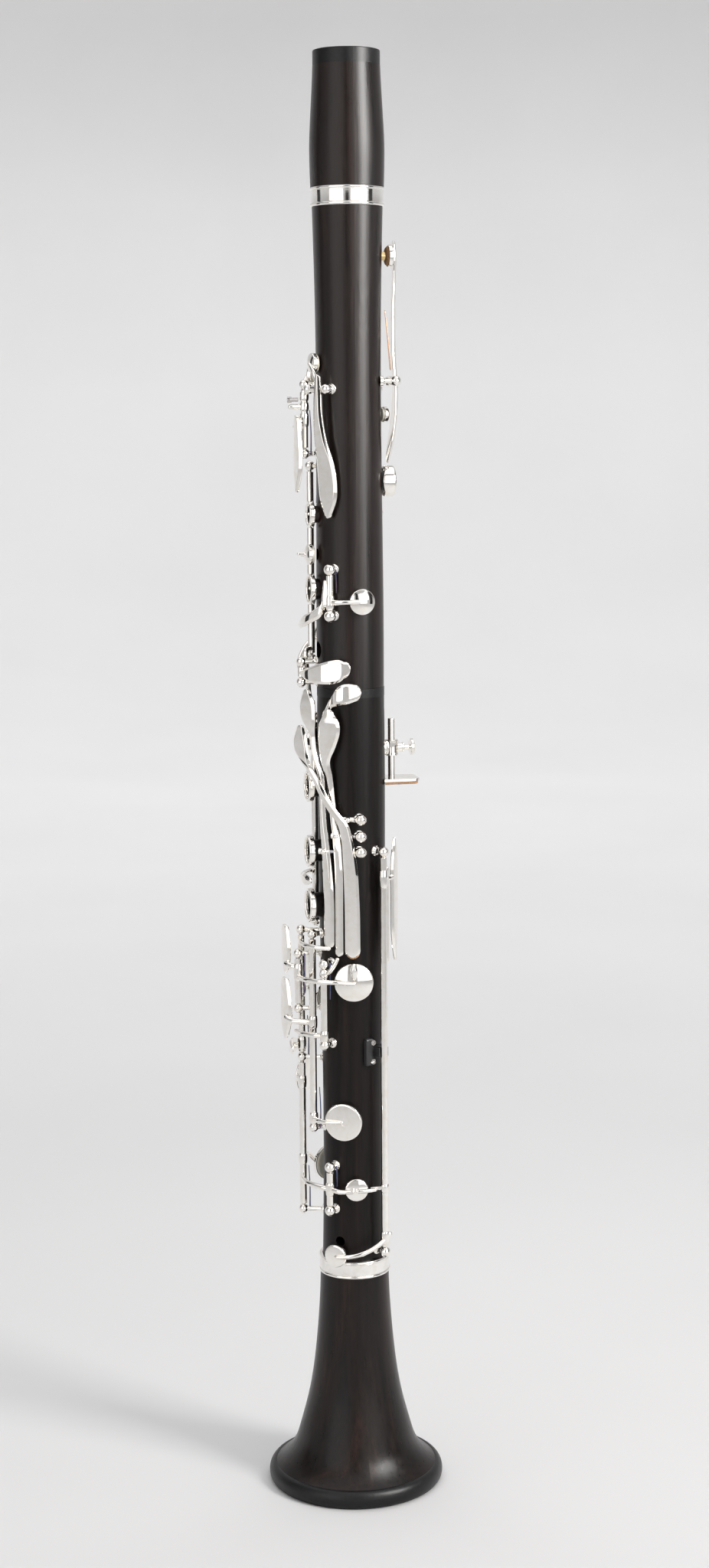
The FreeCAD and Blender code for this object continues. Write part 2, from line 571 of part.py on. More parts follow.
def right_hand_keys():
    angle, r = -20, 23.2
    for z in (126.5, 197.5, 256.0):
        post(angle, r, z, 2.2)
    steels.append(rod(at(angle, r, 124.5), at(angle, r, 258.0), STEEL_R))
    hook = arm([at(angle, r, 251.5), at(-4, 23.4, 251.5), at(14, 23.0, 251.5), at(30, 21.4, 251.4),
                at(45, 18.8, 251.2)], 1.1)
    oval = bar([(-26, 26.4, 202.6, 5.0, 1.3), (-16, 28.0, 202.6, 7.5, 1.4),
                (-8, 27.6, 202.6, 3.0, 1.2)], True)
    oval_arm = arm([at(angle, r, 202.6), at(-21, 27.2, 202.6)], 1.2)
    keys = right_hand_key("f_c", 226.0, 253.5, -70, 222.0, 238.0, 229.0, [hook])
    keys.update(right_hand_key("e_b", 129.0, 194.8, -62, 145.0, 186.0, 150.0, []))
    link = fuse([rod(at(angle, r, 200.0), at(angle, r, 225.5), TUBE_R), oval, oval_arm,
                 arm([at(angle, r, 206), at(-34, 24.6, 206), at(-44, 24.8, 203)], 1.2)])
    keys["crow_foot"] = link.cut(upright_bore(angle, r, 199, 227))
    return keys


def transfer_key():
    angle, r = 38, 19.6
    z0, z1 = 207.3, 244.0
    tube = upright_hinge(angle, r, z0, z1, 2.3)
    front = arm([at(angle, r, 211.4), at(26, 21.6, 211.3), at(12, 23.8, 211.2), at(-4, 25.6, 211.2)], 1.1)
    back = arm([at(43, r, 239.8), at(52, 19.0, 243.4), at(57, 18.5, 246.6)], 1.0)
    key = fuse([tube, arm([at(angle, r, 239.8), at(43, r, 239.8)], 1.0), front, back])
    return {"transfer_key": key.cut(upright_bore(angle, r, z0, z1))}


def correction_key():
    angle, r = 122.5, 19.8
    z0, z1 = 111.5, 294.0
    tube = upright_hinge(angle, r, z0, z1, 2.4)
    touch = wrapped([(0, -28), (3.0, -12), (3.6, 10), (2.6, 22), (0, 27.5), (-2.6, 20), (-3.4, 0),
                     (-2.4, -20)],
                    147, 272, 19.6, 20.9)
    plate = bar([(128.5, 20.0, 246, 3.0, 1.1), (128.5, 20.0, 286, 3.0, 1.1)])
    joiner = arm([at(128, 20.0, 282), at(140, 20.25, 282)], 0.9)
    low = arm([at(128, 20.6, 119.5), at(angle, r + 0.4, 118.0), at(105, 19.6, 114.5), at(84, 19.8, 112.0),
               at(64, 19.9, 110.8), at(54, 19.8, 110.5)], ARM_R)
    tip = arm([at(angle, r, 141.2), at(114, 17.6, 141.2), at(106.5, 16.7, 141.2)], 0.85)
    bottom = 16.6
    cup = pad_cup(51, 110.5, bottom, 5.2, 0.4)
    key = fuse([tube, touch, plate, joiner, low, tip, cup]).cut(upright_bore(angle, r, z0, z1))
    return {"correction_key": key, "correction_pad": pad(51, 110.5, bottom, 5.2).cut(key)}


def vent_key():
    angle, r = 42, 18.2
    z0, z1 = 131.0, 151.0
    tube = upright_hinge(angle, r, z0, z1, 2.4)
    right = arm([at(angle, r, 141), at(60, 18.3, 140.6), at(76, 18.0, 141)], ARM_R)
    left = arm([at(angle, r, 141), at(20, 20.4, 141.4), at(2, 22.4, 141.8), at(-8, 23.2, 142)], ARM_R)
    bottom = wood_r(141) + PAD_GAP
    cup = pad_cup(82, 141, bottom, 5.2, 0.5)
    ear = arm([at(88, 18.0, 141), at(106, 19.3, 141.2)], 0.9)
    tone_hole(82, 141, 3.0)
    key = fuse([tube, right, left, cup, ear]).cut(upright_bore(angle, r, z0, z1))
    return {"vent_key": key, "vent_pad": pad(82, 141, bottom, 5.2).cut(key)}


# ---------------------------------------------------------------- thumb rest and small fittings
REST_Y = 18.3
REST_ROD_R = 1.6


def thumb_rest():
    collar = rod(V(0, REST_Y, 334.5), V(0, REST_Y, 341.5), 3.0)
    stem = rod(V(0, wood_r(338) - 3, 338), V(0, REST_Y, 338), 1.8)
    boss = rod(V(0, REST_Y, 338), V(0, REST_Y + 5.2, 338), 2.0)
    foot = rod(V(0, wood_r(338) - 1, 338), V(0, wood_r(338) + 0.8, 338), 3.6)
    bore = rod(V(0, REST_Y, 330), V(0, REST_Y, 346), REST_ROD_R + 0.05)
    screw_bore = rod(V(0, REST_Y, 338), V(0, REST_Y + 9, 338), 1.05)
    holder = fuse([collar, stem, boss, foot]).cut(bore).cut(screw_bore)
    posts["lower"].append(holder)
    stalk = rod(V(0, REST_Y, 323.6), V(0, REST_Y, 351), REST_ROD_R)
    plate = Part.makeBox(15, 14.6, 1.3, V(-7.5, 15.3, 323.4))
    front = Part.makeCylinder(15.3, 4, V(0, 0, 322))
    plate = plate.cut(front)
    corners = [e for e in plate.Edges if e.BoundBox.ZLength > 1.2 and e.BoundBox.YMin > 25]
    plate = plate.makeFillet(3.0, corners)
    rest = fuse([stalk, plate])
    cork = Part.makeBox(13.8, 13.6, 1.2, V(-6.9, 15.7, 322.2)).cut(front)
    shank = rod(V(0, REST_Y + REST_ROD_R + 0.05, 338), V(0, 27.0, 338), 1.0)
    head = rod(V(0, 26.6, 338), V(0, 28.4, 338), 3.6)
    return {"thumb_rest": rest, "thumb_rest_cork": cork, "thumb_screw": fuse([shank, head])}


def correction_guide():
    block = local(Part.makeBox(5.2, 12.0, 2.2, V(-4.6, -6.0, 0)), 116, wood_r(203.5) - 0.2, 203.5)
    fork = local(Part.makeBox(5.6, 4.4, 5.0, V(-1.8, -2.2, 0)), 120, wood_r(203.5) + 0.2, 203.5)
    clear = rod(at(122.5, 19.8, 195), at(122.5, 19.8, 212), TUBE_R + 0.1)
    block = fuse([block, fork]).cut(clear)
    screws = []
    for dz in (-4.3, 4.3):
        z, w = 203.5 + dz, wood_r(203.5)
        screws.append(rod(at(112, w - 1.5, z), at(112, w + 2.4, z), 1.1))
    for screw in screws:
        block = block.cut(screw)
    return {"correction_guide": block, "guide_screws": group(screws)}


# ---------------------------------------------------------------- wooden bodies and rings
def barrel():
    top = MOUTH_SOCKET_LEN
    outer = smooth_profile(BARREL_OUTSIDE)
    low = BARREL_Z
    edges = [outer, line((14.45, 630.7), (13.2, 630.7)), line((13.2, 630.7), (13.2, TOTAL)),
             line((13.2, TOTAL), (MOUTH_SOCKET_R, TOTAL)),
             line((MOUTH_SOCKET_R, TOTAL), (MOUTH_SOCKET_R, TOTAL - top)),
             line((MOUTH_SOCKET_R, TOTAL - top), (BORE, TOTAL - top)),
             line((BORE, TOTAL - top), (BORE, low + TENON_LEN + SOCKET_CLEAR)),
             line((BORE, low + TENON_LEN + SOCKET_CLEAR), (11.4, low + TENON_LEN + SOCKET_CLEAR)),
             line((11.4, low + TENON_LEN + SOCKET_CLEAR), (11.4, low)), line((11.4, low), (15.7, low))]
    wood = revolve(edges).cut(ring_of(low - 1, 580.3, 14.2, 20))
    ring = ring_of(630.7, TOTAL, 13.2, 14.4)
    ring = ring.makeFillet(0.5, [e for e in ring.Edges if e.BoundBox.XMax > 14.3 and e.BoundBox.ZMin > 636])
    return {"barrel": wood, "barrel_top_ring": ring,
            "barrel_socket_ring": bead_ring(low, 580.3, 14.2, 16.05, 1.5, 0.45)}


def upper_joint():
    outer = smooth_profile(UPPER_OUTSIDE)
    top = BARREL_Z + TENON_LEN
    low = MIDDLE_Z - TENON_LEN
    edges = [outer, line((15.2, BARREL_Z), (10.6, BARREL_Z)), line((10.6, BARREL_Z), (10.6, top)),
             line((10.6, top), (BORE - 0.1, top)), line((BORE - 0.1, top), (BORE - 0.1, low)),
             line((BORE - 0.1, low), (10.4, low)), line((10.4, low), (10.4, MIDDLE_Z)),
             line((10.4, MIDDLE_Z), (14.7, MIDDLE_Z))]
    return revolve(edges)


def lower_joint():
    outer = smooth_profile(LOWER_OUTSIDE)
    low = BELL_Z - TENON_LEN - 2.0
    deep = MIDDLE_Z - TENON_LEN - SOCKET_CLEAR
    edges = [outer, line((14.7, MIDDLE_Z), (11.2, MIDDLE_Z)), line((11.2, MIDDLE_Z), (11.2, deep)),
             line((11.2, deep), (BORE, deep)), line((BORE, deep), (BORE, 190)),
             line((BORE, 190), (10.2, low)), line((10.2, low), (12.4, low)),
             line((12.4, low), (12.4, BELL_Z)), line((12.4, BELL_Z), (14.4, BELL_Z))]
    wood = revolve(edges).cut(ring_of(361.9, 365.6, 13.9, 20))
    return wood


def bell():
    outer = smooth_profile(BELL_OUTSIDE)
    inner = smooth_profile(BELL_INSIDE)
    z_in, r_in = BELL_INSIDE[-1]
    z_out, r_out = BELL_OUTSIDE[-1]
    socket = BELL_INSIDE[0][0]
    edges = [outer, inner, line((r_out, z_out), (37.2, 4.6)), line((37.2, 4.6), (36.6, z_in)),
             line((36.6, z_in), (r_in, z_in)), line((BELL_INSIDE[0][1], socket), (13.0, socket)),
             line((13.0, socket), (13.0, BELL_Z)), line((13.0, BELL_Z), (14.6, BELL_Z)),
             line((14.6, BELL_Z), (14.6, 99.0)), line((14.6, 99.0), (15.5, 99.0))]
    return revolve(edges)


def rim_ring():
    outline = Part.BSplineCurve()
    outline.interpolate([V(36.4, 0, 8.0), V(37.9, 0, 7.7), V(39.2, 0, 6.2), V(RIM_R, 0, 3.8), V(39.3, 0, 1.4),
                         V(38.0, 0, 0.0)])
    edges = [outline.toShape(), line((38.0, 0), (35.6, 0)), line((35.6, 0), (35.0, 0.6)),
             line((35.0, 0.6), (35.0, 2.6)), line((35.0, 2.6), (36.6, 2.6)), line((36.6, 2.6), (37.2, 4.6)),
             line((37.2, 4.6), (36.4, 8.0))]
    return revolve(edges)


# ---------------------------------------------------------------- everything together
def build():
    nodes = {}
    for make in (register_key, thumb_key, throat_a_key, throat_gs_key, upper_ring_key, sliver_eb_key, cs_gs_key,
                 lower_ring_key, bf_sliver_key, fs_cs_lever, lever_cork, ab_eb_key, fs_cs_key, right_hand_keys,
                 transfer_key, correction_key, vent_key, thumb_rest, correction_guide, barrel):
        nodes.update(make())
    for number in range(len(SIDE_KEYS)):
        nodes.update(side_key(number))
    for name in LEVERS:
        nodes.update(lh_lever(name))
    nodes["lever_cork"] = nodes["lever_cork"].cut(nodes["lh_ab_eb_lever"])

    tone_hole(4, 382.3, 3.75)
    tone_hole(51, 116.0, 2.2)
    tone_hole(180, 551.5, 1.9)
    tone_hole(180, 455.3, 4.7)

    vent = rod(at(180, BORE + 0.4, 551.5), at(180, 16.4, 551.5), 1.9)
    nodes["register_vent"] = vent.cut(rod(at(180, 5, 551.5), at(180, 20, 551.5), 1.3))
    bush = rod(at(180, BORE + 0.4, 455.3), at(180, 15.6, 455.3), 4.7)
    nodes["thumb_bush"] = bush.cut(rod(at(180, 5, 455.3), at(180, 20, 455.3), 3.9))

    steel = group(steels)
    wood = {"upper": upper_joint(), "lower": lower_joint()}
    for name in ("upper", "lower"):
        fittings = [p.cut(steel) for p in posts[name]]
        body = fuse([wood[name]] + chimneys[name]) if chimneys[name] else wood[name]
        for shape in holes[name] + fittings:
            body = body.cut(shape)
        if name == "lower":
            body = body.cut(nodes["correction_guide"]).cut(nodes["guide_screws"])
        nodes[name + "_joint"] = body
        nodes[name + "_posts"] = group(fittings)
    nodes["hinge_steels"] = steel

    nodes["upper_tenon_cork"] = ring_of(575.0, 586.0, 10.6, 11.4)
    nodes["centre_tenon_cork"] = ring_of(352.5, 363.5, 10.4, 11.2)
    nodes["lower_tenon_cork"] = ring_of(92.5, 104.0, 12.4, 13.0)
    nodes["centre_ring"] = ring_of(361.9, 365.6, 13.9, 14.85)
    nodes["bell"] = bell()
    nodes["bell_socket_ring"] = bead_ring(99.0, BELL_Z, 14.6, 16.3, 1.5, 0.4)
    nodes["bell_rim_ring"] = rim_ring()
    return nodes


os.makedirs("parts", exist_ok=True)
for node, shape in build().items():
    if not shape.isValid():
        print("not valid:", node)
    shape.exportStep("parts/%s.step" % node)
    print("%-20s solids %3d  volume %9.1f mm3" % (node, len(shape.Solids), shape.Volume))
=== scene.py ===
import math

import bmesh
import bpy
import numpy as np
from mathutils import Matrix, Vector


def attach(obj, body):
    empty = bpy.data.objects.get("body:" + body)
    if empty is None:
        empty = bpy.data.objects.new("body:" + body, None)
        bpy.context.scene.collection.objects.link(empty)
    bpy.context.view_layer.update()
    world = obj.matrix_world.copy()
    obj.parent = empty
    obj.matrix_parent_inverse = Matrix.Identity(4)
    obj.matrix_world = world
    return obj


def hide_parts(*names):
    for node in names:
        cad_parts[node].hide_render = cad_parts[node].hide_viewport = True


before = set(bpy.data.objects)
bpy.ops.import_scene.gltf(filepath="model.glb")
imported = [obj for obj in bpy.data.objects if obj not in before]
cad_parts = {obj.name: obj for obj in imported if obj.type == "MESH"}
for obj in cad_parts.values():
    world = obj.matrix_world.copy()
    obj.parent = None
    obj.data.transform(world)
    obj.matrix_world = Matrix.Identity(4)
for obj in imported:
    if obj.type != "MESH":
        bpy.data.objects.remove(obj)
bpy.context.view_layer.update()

# A clarinet standing on its bell.  Shapes are given in millimetres in the part's own
# frame: +Z up the bore, angles round the body from the finger rings (0, at -Y) towards
# the player's left hand (90, at +X).  They become metres when a mesh is made.
MM = 0.001

TUBE_R = 1.6             # key tube
STEEL_R = 0.8            # hinge steel
STEM_R = 1.1             # post stem
BALL_R = 2.3             # post ball
END_GAP = 2.5            # post centre to key tube end
ARM_R = 1.15             # round key arm
PAD_GAP = 0.35           # closed pad above the wood
PAD_OPEN = 2.6           # open pad above the wood
RING_PAD_OPEN = 1.7      # pad of a ring key above the wood
PAD_T = 2              # pad thickness
MIDDLE_Z = 366         # where the two joints meet
LEVER_AXIS = 62        # angle of the left-hand levers' cross pins
LEVER_DEPTH = 16.7       # their distance from the bore's axis
LEVER_POST = 9         # their posts, along the pins
FOOT = 3               # how far a post reaches into the wood
REST_Y = 18.3            # screw line of the thumb rest
SCREW_Z = 338          # height of its screw
SHARP = 38               # edges sharper than this many degrees stay sharp

# Outside of the two joints: (height, radius).
WOOD = [(107, 14.4), (127, 14), (162, 13.65), (236, 14.2), (313, 14.9), (366, 14.7),
        (432, 14.5), (465, 14.2), (530, 14.3), (556, 14.8), (572, 15.2)]


# ---- places
def radial(angle):
    a = math.radians(angle)
    return np.array([math.sin(a), -math.cos(a), 0])


def tangent(angle):
    a = math.radians(angle)
    return np.array([math.cos(a), math.sin(a), 0])


UP = np.array([0, 0, 1])


def at(angle, r, z):
    return radial(angle) * r + UP * z


def wood_r(z):
    """Outside radius of the joints' wood at a height."""
    return float(np.interp(z, [p[0] for p in WOOD], [p[1] for p in WOOD]))


def unit(v):
    return v / np.linalg.norm(v)


# ---- shapes
def resample(points, values, step):
    """Values carried smoothly along a path given by points, one step apart."""
    p = np.asarray(points, float)
    v = np.asarray(values, float)
    t = np.concatenate([[0], np.cumsum(np.linalg.norm(np.diff(p, axis=0), axis=1))])
    slope = np.gradient(v, t, axis=0)
    fine = []
    for a, b in zip(t, t[1:]):
        fine.extend(np.linspace(a, b, max(2, int((b - a) / step) + 1), endpoint=False))
    fine = np.array(fine + [t[-1]])
    k = np.clip(np.searchsorted(t, fine, side="right") - 1, 0, len(t) - 2)
    h = (t[k + 1] - t[k])[:, None]
    u = (fine - t[k])[:, None] / h
    return ((2 * u ** 3 - 3 * u ** 2 + 1) * v[k] + (u ** 3 - 2 * u ** 2 + u) * h * slope[k]
            + (3 * u ** 2 - 2 * u ** 3) * v[k + 1] + (u ** 3 - u ** 2) * h * slope[k + 1])


def loft(loops, closed=False):
    """Skin through equal loops; open lofts get a face at each end."""
    loops = np.asarray(loops, float)
    rows, cols = loops.shape[:2]
    faces = []
    for i in range(rows if closed else rows - 1):
        j = (i + 1) % rows
        for k in range(cols):
            m = (k + 1) % cols
            faces.append((i * cols + k, i * cols + m, j * cols + m, j * cols + k))
    if not closed:
        faces.append(tuple(range(cols)))
        faces.append(tuple((rows - 1) * cols + k for k in range(cols)))
    return loops.reshape(-1, 3), faces


def revolve(profile, origin, axis, n=32, closed=False):
    """Turned shape: profile of (radius, height along the axis)."""
    axis = unit(np.asarray(axis, float))
    side = unit(np.cross(axis, UP) if abs(axis[2]) < 0.9 else np.cross(axis, [1, 0, 0]))
    other = np.cross(axis, side)
    turns = np.linspace(0, 2 * math.pi, n, endpoint=False)
    rim = np.cos(turns)[:, None] * side + np.sin(turns)[:, None] * other
    return loft([origin + axis * h + rim * max(r, 0.01) for r, h in profile], closed)


def rounded(half_wide, half_thick, top, bottom, n=22):
    """Section of a wire or plate: superellipse, with its own squareness above and below."""
    turns = np.linspace(0, 2 * math.pi, n, endpoint=False)
    c, s = np.cos(turns), np.sin(turns)
    power = np.where(s >= 0, 2 / top, 2 / bottom)
    x = np.sign(c) * np.abs(c) ** power * half_wide
    y = np.sign(s) * np.abs(s) ** power * half_thick
    return np.stack([x, y], 1)


def forged(half_wide, half_thick, bevel, crown=0.06):
    """Section of a forged key: flat foot, upright edge, slanted bevel and a nearly flat face."""
    b = min(bevel, 0.62 * half_wide)
    drop = min(1.25 * half_thick, 0.85 * b)
    ease = min(0.14, 0.3 * half_wide, 0.3 * half_thick)
    flat = half_wide - b
    top, edge = half_thick, half_thick - drop
    right = [(half_wide - ease, -top), (half_wide, ease - top), (half_wide, edge - ease),
             (half_wide - 0.25 * ease, edge + 0.2 * ease), (flat + 0.9 * ease, top - 0.7 * ease),
             (flat + 0.2 * ease, top - 0.1 * ease), (flat - ease, top + 0.3 * crown),
             (0.5 * flat, top + 0.8 * crown)]
    left = [(-x, y) for x, y in reversed(right)]
    return np.array(right + [(0, half_thick + crown)] + left + [(0, -half_thick)])


def end_scales(count=5):
    turns = np.linspace(0, math.pi / 2, count)[1:]
    return [(math.sin(t), max(math.cos(t), 0.06)) for t in turns]


def bar(stations, upright=False, bevel=1.1, step=1.2):
    """Forged bar with round tips through stations of (angle, radius, height, width, thickness, lean)."""
    stations = [tuple(s) + (0,) * (6 - len(s)) for s in stations]
    values = resample([at(*s[:3]) for s in stations], stations, step)
    loops = []

    def loop(angle, r, z, wide, thick, lean, shift=(0, 0, 0), squeeze=1):
        w = UP if upright else tangent(angle + lean)
        flat = forged(wide / 2 * squeeze, thick / 2 * (0.6 + 0.4 * squeeze), bevel * squeeze)
        return at(angle, r, z) + shift + flat[:, :1] * w + flat[:, 1:] * radial(angle + lean)

    def tip(s, inner):
        out = unit(at(*s[:3]) - at(*inner[:3]))
        return [loop(*s, shift=out * (s[3] * 0.42 * d), squeeze=q) for d, q in end_scales()]

    loops += tip(values[0], values[1])[::-1]
    loops += [loop(*s) for s in values]
    loops += tip(values[-1], values[-2])
    return loft(loops)


def arm(points, r=ARM_R, r_end=None, flat=1, step=0.9, n=16):
    """Round (or flattened) arm swept through points, with round ends."""
    r_end = r if r_end is None else r_end
    path = resample(points, points, step)
    length = np.concatenate([[0], np.cumsum(np.linalg.norm(np.diff(path, axis=0), axis=1))])
    radii = r + (r_end - r) * length / length[-1]
    heads = np.gradient(path, axis=0)
    out = path[0] * [1, 1, 0]
    loops = []
    turns = np.linspace(0, 2 * math.pi, n, endpoint=False)
    side = None
    for p, d, rad in zip(path, heads, radii):
        d = unit(d)
        if side is None:
            side = unit(np.cross(d, unit(out)) if abs(np.dot(d, unit(out))) < 0.95 else np.cross(d, UP))
        side = unit(side - d * np.dot(side, d))
        lift = np.cross(side, d)
        loops.append(p + (np.cos(turns)[:, None] * side * rad) + (np.sin(turns)[:, None] * lift * rad * flat))
    first, last = unit(path[0] - path[1]), unit(path[-1] - path[-2])
    head = [path[0] + (loops[0] - path[0]) * q + first * r * d for d, q in end_scales()]
    tail = [path[-1] + (loops[-1] - path[-1]) * q + last * r_end * d for d, q in end_scales()]
    return loft(head[::-1] + loops + tail)


def bent(places, r=ARM_R, r_end=None):
    """Round arm through places of (angle, radius, height)."""
    return arm([at(*p) for p in places], r, r_end)


def leaf(outline, angle, z, r0, r1, hollow=0, bevel=1.1, rows=34, lean=0):
    """Touch plate bent round the body between two radii; its outline is (tangent, height), lean turns it."""
    closed = np.array(list(outline) + [outline[0]], float)
    wrap = np.concatenate([closed[-3:-1], closed, closed[1:3]])
    fine = resample(wrap, wrap, 0.35)
    low, high = min(y for x, y in outline), max(y for x, y in outline)
    mid_r, thick = (r0 + r1) / 2, r1 - r0
    loops = []
    for t in np.linspace(0.02, math.pi - 0.02, rows):
        y = (low + high) / 2 - (high - low) / 2 * math.cos(t) * 0.995
        cuts = []
        for a, b in zip(fine, fine[1:]):
            if (a[1] - y) * (b[1] - y) < 0:
                cuts.append(a[0] + (b[0] - a[0]) * (y - a[1]) / (b[1] - a[1]))
        if len(cuts) < 2:
            continue
        wide, centre = max(cuts) - min(cuts), (max(cuts) + min(cuts)) / 2
        squeeze = min(1, 0.3 + wide / 6)
        loop = []
        for x, h in forged(wide / 2, thick / 2 * (0.6 + 0.4 * squeeze), bevel * squeeze):
            sink = hollow * max(0, 1 - (2 * x / wide) ** 2) if h > 0 else 0
            loop.append(at(angle + math.degrees((centre + x) / mid_r), mid_r + h - sink, z + y))
        loops.append(loop)
    points, faces = loft(loops)
    turn, pivot = math.radians(lean), at(angle, mid_r, 0)
    spin = np.array([[math.cos(turn), math.sin(turn), 0], [-math.sin(turn), math.cos(turn), 0], [0, 0, 1]])
    return (points - pivot) @ spin + pivot, faces


def cup(angle, z, bottom, radius, dome=1, n=48):
    """Key cup: turned lip, short wall and domed back; bottom is the radius of the pad's face."""
    lip = [(radius - inset, height) for inset, height in
           ((radius, PAD_T), (0.5, PAD_T), (0.48, 1.2), (0.3, 1.02), (0.08, 1.08), (0, 1.3), (0, 2.35),
            (0.07, 2.65), (0.25, 2.88), (0.5, 2.98))]
    back = [((radius - 0.5) * q, 2.98 + dome * (1 - q * q)) for q in np.linspace(0.96, 0, 12)]
    return revolve(lip + back, at(angle, bottom, z), radial(angle), n)


def pad(angle, z, bottom, radius):
    r = radius - 0.5
    seat = [(0, 0.1), (r * 0.45, 0.1), (r * 0.55, 0.16), (r * 0.63, 0.1), (r * 0.85, 0.03), (r * 0.95, 0.15),
            (r, 0.5), (r + 0.02, 1.2), (r - 0.02, PAD_T - 0.02), (0, PAD_T - 0.02)]
    return revolve(seat, at(angle, bottom, z), radial(angle), 40)


def tube(p, q, r=TUBE_R, n=24):
    """Key tube with eased ends."""
    length = np.linalg.norm(q - p)
    ease = 0.18
    profile = [(STEEL_R + 0.05, 0), (r - ease, 0), (r - 0.05, 0.06), (r, ease), (r, length - ease),
               (r - 0.05, length - 0.06), (r - ease, length), (STEEL_R + 0.05, length)]
    return revolve(profile, p, q - p, n, closed=True)


def sleeve(angle, r, z, length=5, fat=0.45, axis=UP):
    """Soldered swelling on a tube where an arm leaves it."""
    half = length / 2
    rise = [(TUBE_R - 0.1 + (fat + 0.1) * math.cos(t) ** 0.7, half * math.sin(t))
            for t in np.linspace(-math.pi / 2 + 0.05, math.pi / 2 - 0.05, 13)]
    return revolve([(0, rise[0][1])] + rise + [(0, rise[-1][1])], at(angle, r, z), axis, 24)


def ring_round(angle, z, r0, r1, r_out, wall=1.5, hug=None, n=56):
    """Finger ring standing off the body; hug makes its foot follow the wood."""
    loops = []
    for t in np.linspace(0, 2 * math.pi, n, endpoint=False):
        out = tangent(angle) * math.cos(t) + UP * math.sin(t)
        low = r0
        if hug:
            low = math.sqrt(hug ** 2 - (r_out * math.cos(t)) ** 2)
        flat = rounded(wall / 2, (r1 - low) / 2, 3.2, 5, 20)
        centre = at(angle, (r1 + low) / 2, z) + out * (r_out - wall / 2)
        loops.append(centre + flat[:, :1] * out + flat[:, 1:] * radial(angle))
    return loft(loops, closed=True)


def turned_post(foot, top, wood, ball_r=BALL_R):
    """Post from the wood to its ball: flange, waisted stem and ball; wood is the height of the surface."""
    axis = top - foot
    length = np.linalg.norm(axis)
    neck = length - ball_r * 0.86
    waist = (wood + neck) / 2
    profile = [(0, wood - 1), (2.3, wood - 1), (2.35, wood + 0.1), (2.2, wood + 0.35), (1.7, wood + 0.5),
               (1.35, wood + 0.8), (STEM_R, wood + 1.3), (STEM_R - 0.08, waist), (STEM_R + 0.1, neck)]
    profile = [p for p in profile if p[1] <= neck]
    turns = np.linspace(-1.02, math.pi / 2, 16)
    ball = [(ball_r * math.cos(t), length + ball_r * math.sin(t)) for t in turns]
    return revolve(profile + ball, foot, axis, 32)


def slotted(origin, axis, r, height, across):
    """Screw head with a driver slot: a base disc and two half discs standing on it."""
    axis, across = unit(axis), unit(across)
    along = np.cross(axis, across)
    base = height * 0.45
    gap = max(0.16, r * 0.16)
    parts = [revolve([(0, 0), (r, 0), (r, base), (0, base)], origin, axis, 24)]
    for sign in (-1, 1):
        reach = math.acos(gap / r)
        rim = [(math.cos(t) * r, math.sin(t) * r) for t in np.linspace(-reach, reach, 15)]
        loops = []
        for h, q in ((base - 0.02, 1), (height - 0.12, 1), (height, 0.93)):
            loops.append([origin + axis * h + along * sign * max(x * q, gap) + across * (y * q)
                          for x, y in rim])
        parts.append(loft(loops))
    return parts


def block(angle, r, z, x, y, h, bevel=0.3):
    """Bevelled block in the local frame: spans of tangent x, height y and radial h."""
    def corners(shrink):
        x0, x1, y0, y1 = x[0] + shrink, x[1] - shrink, y[0] + shrink, y[1] - shrink
        b = bevel
        return [(x0 + b, y0), (x1 - b, y0), (x1, y0 + b), (x1, y1 - b),
                (x1 - b, y1), (x0 + b, y1), (x0, y1 - b), (x0, y0 + b)]
    loops = []
    for height, shrink in ((h[0], bevel), (h[0] + bevel, 0), (h[1] - bevel, 0), (h[1], bevel)):
        loops.append([at(angle, r + height, z) + tangent(angle) * a + UP * b for a, b in corners(shrink)])
    return loft(loops)


